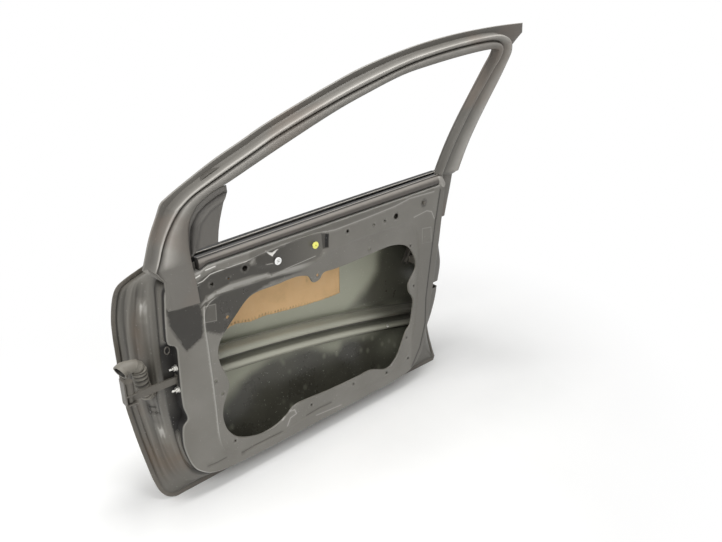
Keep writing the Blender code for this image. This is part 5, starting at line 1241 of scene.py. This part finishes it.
# Sections of the belt: bar from its lower edge, upper edge and cap; outer strip; outer rail. Their tones
# paint highlights on the bar's top and the strip's lip, and shade under the bar, in the glass slot and down
# the rail.
BAR_LOW = ((0.005, 0.0005, -1.0), (0.0022, 0.0020, -1.0), (0.0008, 0.0036, -0.40), (-0.0004, 0.0070, -0.25))
BAR_HIGH = (
    (-0.0003, -0.0064, 0.45), (0.0010, -0.0030, 0.55), (0.0030, -0.0010, 0.30), (0.0046, -0.0004, -0.20),
    (0.0056, -0.0003, -1.0), (0.0074, 0.0001, -1.0), (0.0082, 0.0014, 0.45), (0.0100, 0.0020, 0.65),
    (0.0113, 0.0014, -0.1), (0.0122, 0.0004, -1.0),
)
BAR_CAP = ((0.0185, 0.0), (0.0250, -0.0004), (0.0250, -0.0100), (0.0238, -0.0100), (0.0236, -0.0009))
STRIP = (
    (0.0, -0.022, -1.0), (-0.004, -0.022, -1.0), (-0.008, -0.004, -1.0), (-0.0150, 0.0070, -1.0),
    (-0.0172, 0.0098, -1.0), (-0.0175, 0.0106, 0.8), (-0.0174, 0.0124, 1.0), (-0.0164, 0.0131, 0.2),
    (-0.0150, 0.0134, -1.0), (-0.0100, 0.0139, -1.0), (-0.0040, 0.0134, -0.9), (-0.0008, 0.0118, -0.9),
    (0.0, 0.0090, -0.9),
)
OUTER_RAIL = ((0.0, -0.004, -0.6), (0.0, -0.030, -0.7), (0.014, -0.042, -0.8), (0.014, -0.060, -0.8))


def belt_piece(node, section, reach, material, sheet):
    """Solid piece along the belt, or a sheet this thick; section(x) gives y, z and tone round it."""
    rows, tones = [], []
    for i in range(BELT_STEPS + 1):
        x = reach[0] + (reach[1] - reach[0]) * i / BELT_STEPS
        ring = section(x)
        rows.append([(x, y, z) for y, z, _ in ring])
        tones += [t for _, _, t in ring]
    name = "look_" + node
    mesh = grid_mesh(name, rows, closed=not sheet, caps=not sheet, angle=50.0)
    paint(mesh, "tone", np.array(tones))
    if sheet:
        mesh = applied(mesh, thick(sheet, 0.0))
    add_piece(name, mesh, material, [node])


def make_belt(bar_rubber, strip_rubber, panel_paint):
    """Inner bar with its lip over the flange, outer strip that stands over the shoulder, and both rails."""
    def bar(x):
        low, high = fold_z(x) + 0.0035, bar_top_z(x)
        back = BELT_FLANGE_Y - SEAT
        cap = max(high + 0.0002, fold_z(x) + BELT_FLANGE_RISE + 0.0014)
        # Painted shade under the bar and on its cap in the glass slot.
        return ((back, low, -0.9), (0.012, low, -1.0), *((y, low + dz, tone) for y, dz, tone in BAR_LOW),
                (-0.0009, (low + high) / 2 + 0.001, 0.05),
                *((y, high + dz, tone) for y, dz, tone in BAR_HIGH),
                *((y, cap + dz, -1.0) for y, dz in BAR_CAP), (back + 0.0001, cap - 0.0009, -1.0))

    def strip(x):
        top = shoulder_z(x)
        y = skin_y(x, top) - SKIN_FLANGE - SKIN_T - SEAT - RAIL_ROOM
        return [(y + dy, top + dz, tone) for dy, dz, tone in STRIP]

    def rail(x):
        base, y = fold_z(x), BELT_FLANGE_Y + PANEL_T + SEAT + 0.0006
        foot = PANEL_T + RECESS_DEEP + 0.0030
        # The rail darkens downwards: painted shade inside the door.
        return ((y, base + 0.019, -0.5), (y, base + 0.004, -0.5), (y + 0.008, base - 0.004, -0.6),
                (y + 0.008, base - 0.040, -0.7), (foot, base - 0.046, -0.8), (foot, base - 0.052, -0.8))

    def outer_rail(x):
        top = shoulder_z(x)
        y = skin_y(x, top) - SKIN_FLANGE - SKIN_T - SEAT - RAIL_ROOM / 2
        return [(y + dy, top + dz, tone) for dy, dz, tone in OUTER_RAIL]

    for node, section, reach, material, slot, sheet in (
            ("belt_strip_inner", bar, (0.168, 0.990), bar_rubber, "black_rubber", 0.0),
            ("belt_strip_outer", strip, (0.172, 1.020), strip_rubber, "black_rubber", 0.0),
            ("belt_rail_inner", rail, (0.190, 0.975), panel_paint, "sprayed_grey_paint", RAIL_T),
            ("belt_rail_outer", outer_rail, (0.150, 1.060), panel_paint, "sprayed_grey_paint", RAIL_T)):
        belt_piece(node, section, reach, material, sheet)


END_TAB = metres(((968, 694), (983, 696), (1006, 669), (1004, 658), (990, 662), (973, 683)))
END_TAB_MIDDLE = (0.9985, 0.6900)


def make_end_tab(material):
    """Small folded tab that closes the rear end of the inner bar."""
    rows = []
    for k in range(4):
        y = 0.0030 - 0.0045 * k / 3 - 0.0008 * math.sin(math.pi * k / 3)
        outline = smooth_loop([lerp(p, END_TAB_MIDDLE, 0.06 * k) for p in END_TAB], 3)
        rows.append([(x, y, z) for x, z in outline])
    mesh = grid_mesh("tab", rows, closed=True, caps=True, angle=35.0)
    paint(mesh, "tone", 0.35 + 0.3 * cloud(positions(mesh), 180.0, 12.0))
    add_piece("look_belt_end_tab", mesh, material, [])


MIRROR_CREASE = metres((
    (166, 640), (169, 660), (177, 690), (184, 716), (201, 738), (214, 748), (232, 757), (250, 766),
))
MIRROR_CHANNEL = metres((
    (153, 640), (155, 660), (158, 690), (163, 717), (175, 741), (195, 759), (219, 773), (250, 785),
))
MIRROR_FAR = metres(((260, 640),))
MIRROR_RIM = metres((
    (236, 797), (239, 780), (236.5, 768), (234, 757), (231, 735), (228, 714), (224.5, 690), (221, 664),
    (205, 662.5), (190, 661), (172, 658.5),
))


def make_mirror(material):
    window = frame_outlines()[3]
    edge = hem_inset(window[3 * STEPS + 2:RUN_FIRST * STEPS - 1], -MIRROR_GAP) + list(MIRROR_RIM)
    raised_loop = MIRROR_CREASE + MIRROR_FAR

    def depth(plan):
        base = np.array([frame_y(z) for _, z in plan])
        rim = ramp((0.004 - signed(plan, edge)) / 0.003)
        channel = to_line(plan, MIRROR_CHANNEL)
        raised = ramp(-signed(plan, raised_loop) / 0.006)
        return base + 0.0095 - 0.0012 * rim - 0.0028 * raised + 0.0062 * bell(channel / 0.0035) * (1 - rim)

    extra = grid_points(edge, 0.0026, [edge], 0.0012)
    bm = bmesh.new()
    triangulated(bm, [edge], [], extra, depth)
    mesh = face_towards(mesh_from("mirror", bm, 50.0), Vector((0, -1, 0)))
    mesh = applied(mesh, thick(MIRROR_T, -1.0))
    plan = positions(mesh)[:, [0, 2]]
    crease, channel = signed(plan, raised_loop), to_line(plan, MIRROR_CHANNEL)
    # Painted highlight beside the crease, painted shade along it and in the channel, and a painted shaded
    # band below the crease.
    tone = -0.05 + 0.25 * bell((crease + 0.005) / 0.005) - 0.45 * bell((crease - 0.001) / 0.003)
    low_part = ramp((0.735 - plan[:, 1]) / 0.03) * ramp((0.001 - crease) / 0.004)
    tone -= 0.50 * ramp((0.0175 - channel) / 0.004) * low_part
    tone -= 0.60 * bell(channel / 0.004)
    paint(mesh, "tone", tone)
    add_piece("look_mirror_plate", mesh, material, ["mirror_plate"])


# Wiring boot and small fittings.

def turned(name, profile, base, axis, sides=24):
    """Turned solid from (distance along the axis, radius)."""
    axis = Vector(axis).normalized()
    across = axis.orthogonal().normalized()
    other = axis.cross(across)
    rows = [[Vector(base) + axis * along + radius * (across * math.cos(a) + other * math.sin(a))
             for a in circle(sides)] for along, radius in profile]
    return grid_mesh(name, rows, closed=True, caps=True)


def swept(name, path, radii, inner=()):
    """Round tube along a path; inner gives radius and depth of the rows inside its mouth."""
    path = [Vector(p) for p in path]
    rows, side = [], None
    for i, point in enumerate(path):
        ahead = path[min(i + 1, len(path) - 1)] - path[i - 1] if i > 1 else path[1] - path[0]
        ahead.normalize()
        side = ahead.orthogonal() if side is None else side - ahead * side.dot(ahead)
        side.normalize()
        up = ahead.cross(side)
        rows.append([point + radii[i] * (side * math.cos(a) + up * math.sin(a)) for a in circle(TUBE_SIDES)])
    for radius, back in inner:
        rows.append([path[-1] - ahead * back + radius * (side * math.cos(a) + up * math.sin(a))
                     for a in circle(TUBE_SIDES)])
    return grid_mesh(name, rows, closed=True, caps=True, angle=50.0)


def make_boot(material, black):
    shoulder, ledge = (smooth([s[k] for s in STATIONS], 2) for k in (2, 1))
    index = min(range(len(ledge) // 2), key=lambda i: abs(ledge[i][2] - BOOT_SEAT_Z))
    low, high = Vector(shoulder[index]), Vector(ledge[index])
    along = high - low
    normal = Vector((-along.y, along.x, 0.0)).normalized()
    seat = low.lerp(high, BOOT_SEAT_SHARE)
    seat.z = BOOT_SEAT_Z
    start = seat + normal * BOOT_GAP
    knee = start + normal * BOOT_KNEE + Vector((0.0, 0.0, BOOT_KNEE_RISE))
    spine = [tuple(start + normal * BOOT_FLANGE_T), tuple(knee)] + list(BOOT_SPINE)
    path = [Vector(p) for p in [tuple(start)] + smooth(spine, 24)]
    radii, tones = [], []
    for i, point in enumerate(path):
        ahead = (path[min(i + 1, len(path) - 1)] - path[max(i - 1, 0)]).normalized()
        lean = max(ahead.cross(normal).length, 0.1)
        limit = ((point - seat).dot(normal) - BOOT_GAP) / lean
        wave = (0.5 + 0.5 * math.cos(2 * math.pi * i / 12)) ** 0.8
        radius = BOOT_VALLEY + (BOOT_RIDGE - BOOT_VALLEY) * wave
        radii.append(min(radius, max(limit, BOOT_NECK_R * 0.8)))
        # Painted light on the boot's ridges and painted shade in its valleys.
        tones += [-0.75 + 1.0 * wave] * TUBE_SIDES
    radii[:9] = [BOOT_FLANGE_R] * 4 + [BOOT_FLANGE_R - 0.001] + [BOOT_NECK_R] * 4
    radii[-1] = BOOT_VALLEY
    mesh = swept("boot", path, radii)
    paint(mesh, "tone", np.array(tones))
    add_piece("look_wiring_boot", mesh, material, ["wiring_boot"])
    ahead = (path[-1] - path[-2]).normalized()
    begin = path[-1] + ahead * 2 * SEAT
    elbow = [tuple(begin)] + smooth([tuple(begin + ahead * 0.003)] + list(ELBOW_SPINE), 10)
    count = len(elbow)
    radii = [ELBOW_R + (MOUTH_R - ELBOW_R) * rise(i, count * 0.5, count * 0.4) for i in range(count)]
    radii[:4] = [BOOT_NECK_R] * 2 + [ELBOW_NECK_R] * 2
    for i in ELBOW_RIBS:
        radii[i] += 0.0008
    radii[-1] -= 0.0008
    mesh = swept("elbow", elbow, radii, [(MOUTH_R - step, back) for step, back in MOUTH_STEPS])
    tone = 0.1 + 0.25 * cloud(positions(mesh), 60.0, 6.0)
    # Painted shade deep in the mouth and a painted highlight on its rim.
    tone[-2 * TUBE_SIDES:] = -1.0
    tone[-4 * TUBE_SIDES:-3 * TUBE_SIDES] = 0.7
    paint(mesh, "tone", tone)
    add_piece("look_wiring_elbow", mesh, material, ["wiring_elbow"])
    end, back = Vector(elbow[-1]), (Vector(elbow[-2]) - Vector(elbow[-1])).normalized()
    mesh = turned("plug", PLUG_PROFILE, end + back * (MOUTH_DEEP - SEAT), -back)
    add_piece("look_wiring_plug", mesh, black, ["wiring_plug"])


def make_clip(name, node, place, material, cross, size):
    """Round clip head with a cross or a pin hole pressed in."""
    rows, tones = [], []
    profile = CLIP_FOOT + tuple((radius * size, out) for radius, out in CLIP_HEAD)
    for radius, out in profile:
        row = []
        for a in circle(48):
            u, v = radius * math.cos(a + 0.5), radius * math.sin(a + 0.5)
            cut = 0.0
            if cross and radius < 0.0050 and out > 0.003:
                cut = fall(min(abs(u), abs(v)), 0.0011, 0.0005)
            if not cross and out > 0.003:
                cut = fall(radius, 0.0022, 0.0008)
            row.append((place[0] + radius * math.cos(a), -SEAT - out + 0.0012 * cut,
                        place[1] + radius * math.sin(a)))
            # Painted shade in the pressed cross or pin hole.
            tones.append(-0.8 * cut)
        rows.append(row)
    mesh = grid_mesh(name, rows, closed=True, caps=True, angle=45.0)
    paint(mesh, "tone", np.array(tones))
    add_piece(name, mesh, material, [node])


KEPT_NODES = {
    "black": ("mastic_drop_1", "mastic_drop_2", "mastic_drop_3", "mastic_drop_4"),
    "zinc": ("check_bolt_lower", "check_bolt_upper", "check_pin"),
    "steel": (
        "hinge_reinforcement_upper", "hinge_reinforcement_lower", "latch_reinforcement",
        "beam_bracket_front", "beam_bracket_rear", "check_housing", "check_arm", "check_bracket",
        "guide_channel_front", "guide_channel_rear", "guide_foot_front", "guide_foot_rear", "corner_nut",
        "earth_eyelet", "handle_reinforcement",
    ),
}
SOFT_EDGES = {"check_arm": 0.0016, **dict.fromkeys(
    ("check_bracket", "check_housing", "guide_channel_front", "guide_channel_rear"), 0.0009)}
# Lamps: place, aim, size and power.
LAMPS = (
    ("ceiling", (0.40, -0.15, 2.9), (0.5, 0.05, 0.3), 0.9, 46.0),
    ("front_left", (-1.6, -1.5, 2.2), (0.4, 0.0, 0.5), 1.6, 34.0),
)


def dress_nodes(materials):
    """Materials, and soft edges, for the CAD nodes that stay."""
    for look, names in KEPT_NODES.items():
        for name in names:
            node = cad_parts[name]
            node.data.materials.clear()
            node.data.materials.append(materials[look])
    for name, width in SOFT_EDGES.items():
        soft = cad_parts[name].modifiers.new("soft_edges", "BEVEL")
        soft.width = width
        soft.segments = 3
        soft.limit_method = "ANGLE"
        soft.angle_limit = math.radians(40)


# Stage.

def make_floor():
    """Pale floor under the leaning door that turns white to the eye away from it."""
    up = Vector((0.0, -math.sin(LEAN), math.cos(LEAN)))
    foot = Vector((0.55, SILL_Y, 0.0)) - ORIGIN
    rest = up.to_track_quat("Z", "Y").to_matrix().to_4x4()
    bm = bmesh.new()
    bmesh.ops.create_grid(bm, x_segments=1, y_segments=1, size=6.0)
    bmesh.ops.transform(bm, matrix=Matrix.Translation(foot) @ rest, verts=bm.verts)
    mesh = bpy.data.meshes.new("floor")
    bm.to_mesh(mesh)
    bm.free()
    floor = linked("floor", mesh)
    material = bpy.data.materials.new("pale_floor")
    material.use_nodes = True
    tree = material.node_tree
    shader = tree.nodes["Principled BSDF"]
    place = put(tree, "ShaderNodeTexCoord").outputs["Object"]
    cloudy = put(tree, "ShaderNodeTexNoise", {"Vector": place, "Scale": 3.0, "Detail": 4.0}).outputs[0]
    colour = ramp_node(tree, cloudy, ((0.3, (0.90, 0.90, 0.89)), (0.7, (0.94, 0.94, 0.93))))
    tree.links.new(colour, shader.inputs["Base Color"])
    shader.inputs["Roughness"].default_value = 0.6
    shader.inputs["Specular IOR Level"].default_value = 0.2
    from_door = put(tree, "ShaderNodeMapping", {"Vector": place, "Location": (-foot.x, -foot.y, 0.0)},
                    vector_type="POINT").outputs[0]
    spread = put(tree, "ShaderNodeVectorMath", {0: from_door, 1: (1 / 1.05, 1 / 0.70, 0.0)},
                 operation="MULTIPLY").outputs[0]
    far = put(tree, "ShaderNodeVectorMath", {0: spread}, operation="LENGTH").outputs["Value"]
    fade = put(tree, "ShaderNodeMapRange", {"Value": far, "From Min": 0.65, "From Max": 1.5},
               interpolation_type="SMOOTHSTEP").outputs[0]
    path = put(tree, "ShaderNodeLightPath").outputs
    seen = maths(tree, "MAXIMUM", path["Is Camera Ray"], path["Is Glossy Ray"])
    white = put(tree, "ShaderNodeEmission", {"Color": WHITE, "Strength": 1.0}).outputs[0]
    blend = put(tree, "ShaderNodeMixShader",
                {0: maths(tree, "MULTIPLY", fade, seen), 1: shader.outputs[0], 2: white}).outputs[0]
    tree.links.new(blend, tree.nodes["Material Output"].inputs["Surface"])
    mesh.materials.append(material)


def make_stage():
    make_floor()
    world = bpy.data.worlds.new("studio")
    bpy.context.scene.world = world
    world.use_nodes = True
    tree = world.node_tree
    back = tree.nodes["Background"]
    path = put(tree, "ShaderNodeLightPath").outputs
    either = maths(tree, "MAXIMUM", path["Is Camera Ray"], path["Is Glossy Ray"])
    either = maths(tree, "MAXIMUM", either, path["Is Transmission Ray"])
    level = put(tree, "ShaderNodeMapRange", {"Value": either, "To Min": 0.50, "To Max": 1.0}).outputs[0]
    back.inputs["Color"].default_value = WHITE
    tree.links.new(level, back.inputs["Strength"])
    for name, spot, aim, size, watts in LAMPS:
        lamp = bpy.data.lights.new(name, "AREA")
        lamp.size = size
        lamp.energy = watts
        made = linked(name, lamp)
        made.location = Vector(spot) - ORIGIN
        made.rotation_mode = "QUATERNION"
        made.rotation_quaternion = (Vector(aim) - Vector(spot)).to_track_quat("-Z", "Y")


def make_camera():
    data = bpy.data.cameras.new("camera")
    data.lens = FOCAL
    data.sensor_width = 36.0
    data.clip_start = 0.01
    camera = linked("camera", data)
    turn = Matrix((RIGHT, -DOWN, -AHEAD)).transposed()
    camera.matrix_world = Matrix.Translation(EYE - ORIGIN) @ turn.to_4x4()
    bpy.context.scene.camera = camera


FIELD_LOOP = smooth_loop(FIELD, 5)
bpy.context.scene.view_settings.view_transform = "Standard"
materials = make_materials()
make_stage()
make_camera()
make_panel(materials["panel"])
make_skin(materials["skin"], materials["panel"])
make_beam(materials["beam"], materials["zinc"])
make_felt(materials["felt"])
make_frame(materials["frame"])
make_run(materials["rubber"])
make_belt(materials["bar"], materials["rubber"], materials["panel"])
make_end_tab(materials["frame"])
make_mirror(materials["plastic"])
make_boot(materials["boot"], materials["black"])
make_clip("look_clip_white", "clip_white", WHITE_AT, materials["white"], True, 1.32)
make_clip("look_clip_yellow", "clip_yellow", YELLOW_AT, materials["yellow"], False, 1.25)
dress_nodes(materials)
for tool in cutters:
    bpy.data.objects.remove(tool)
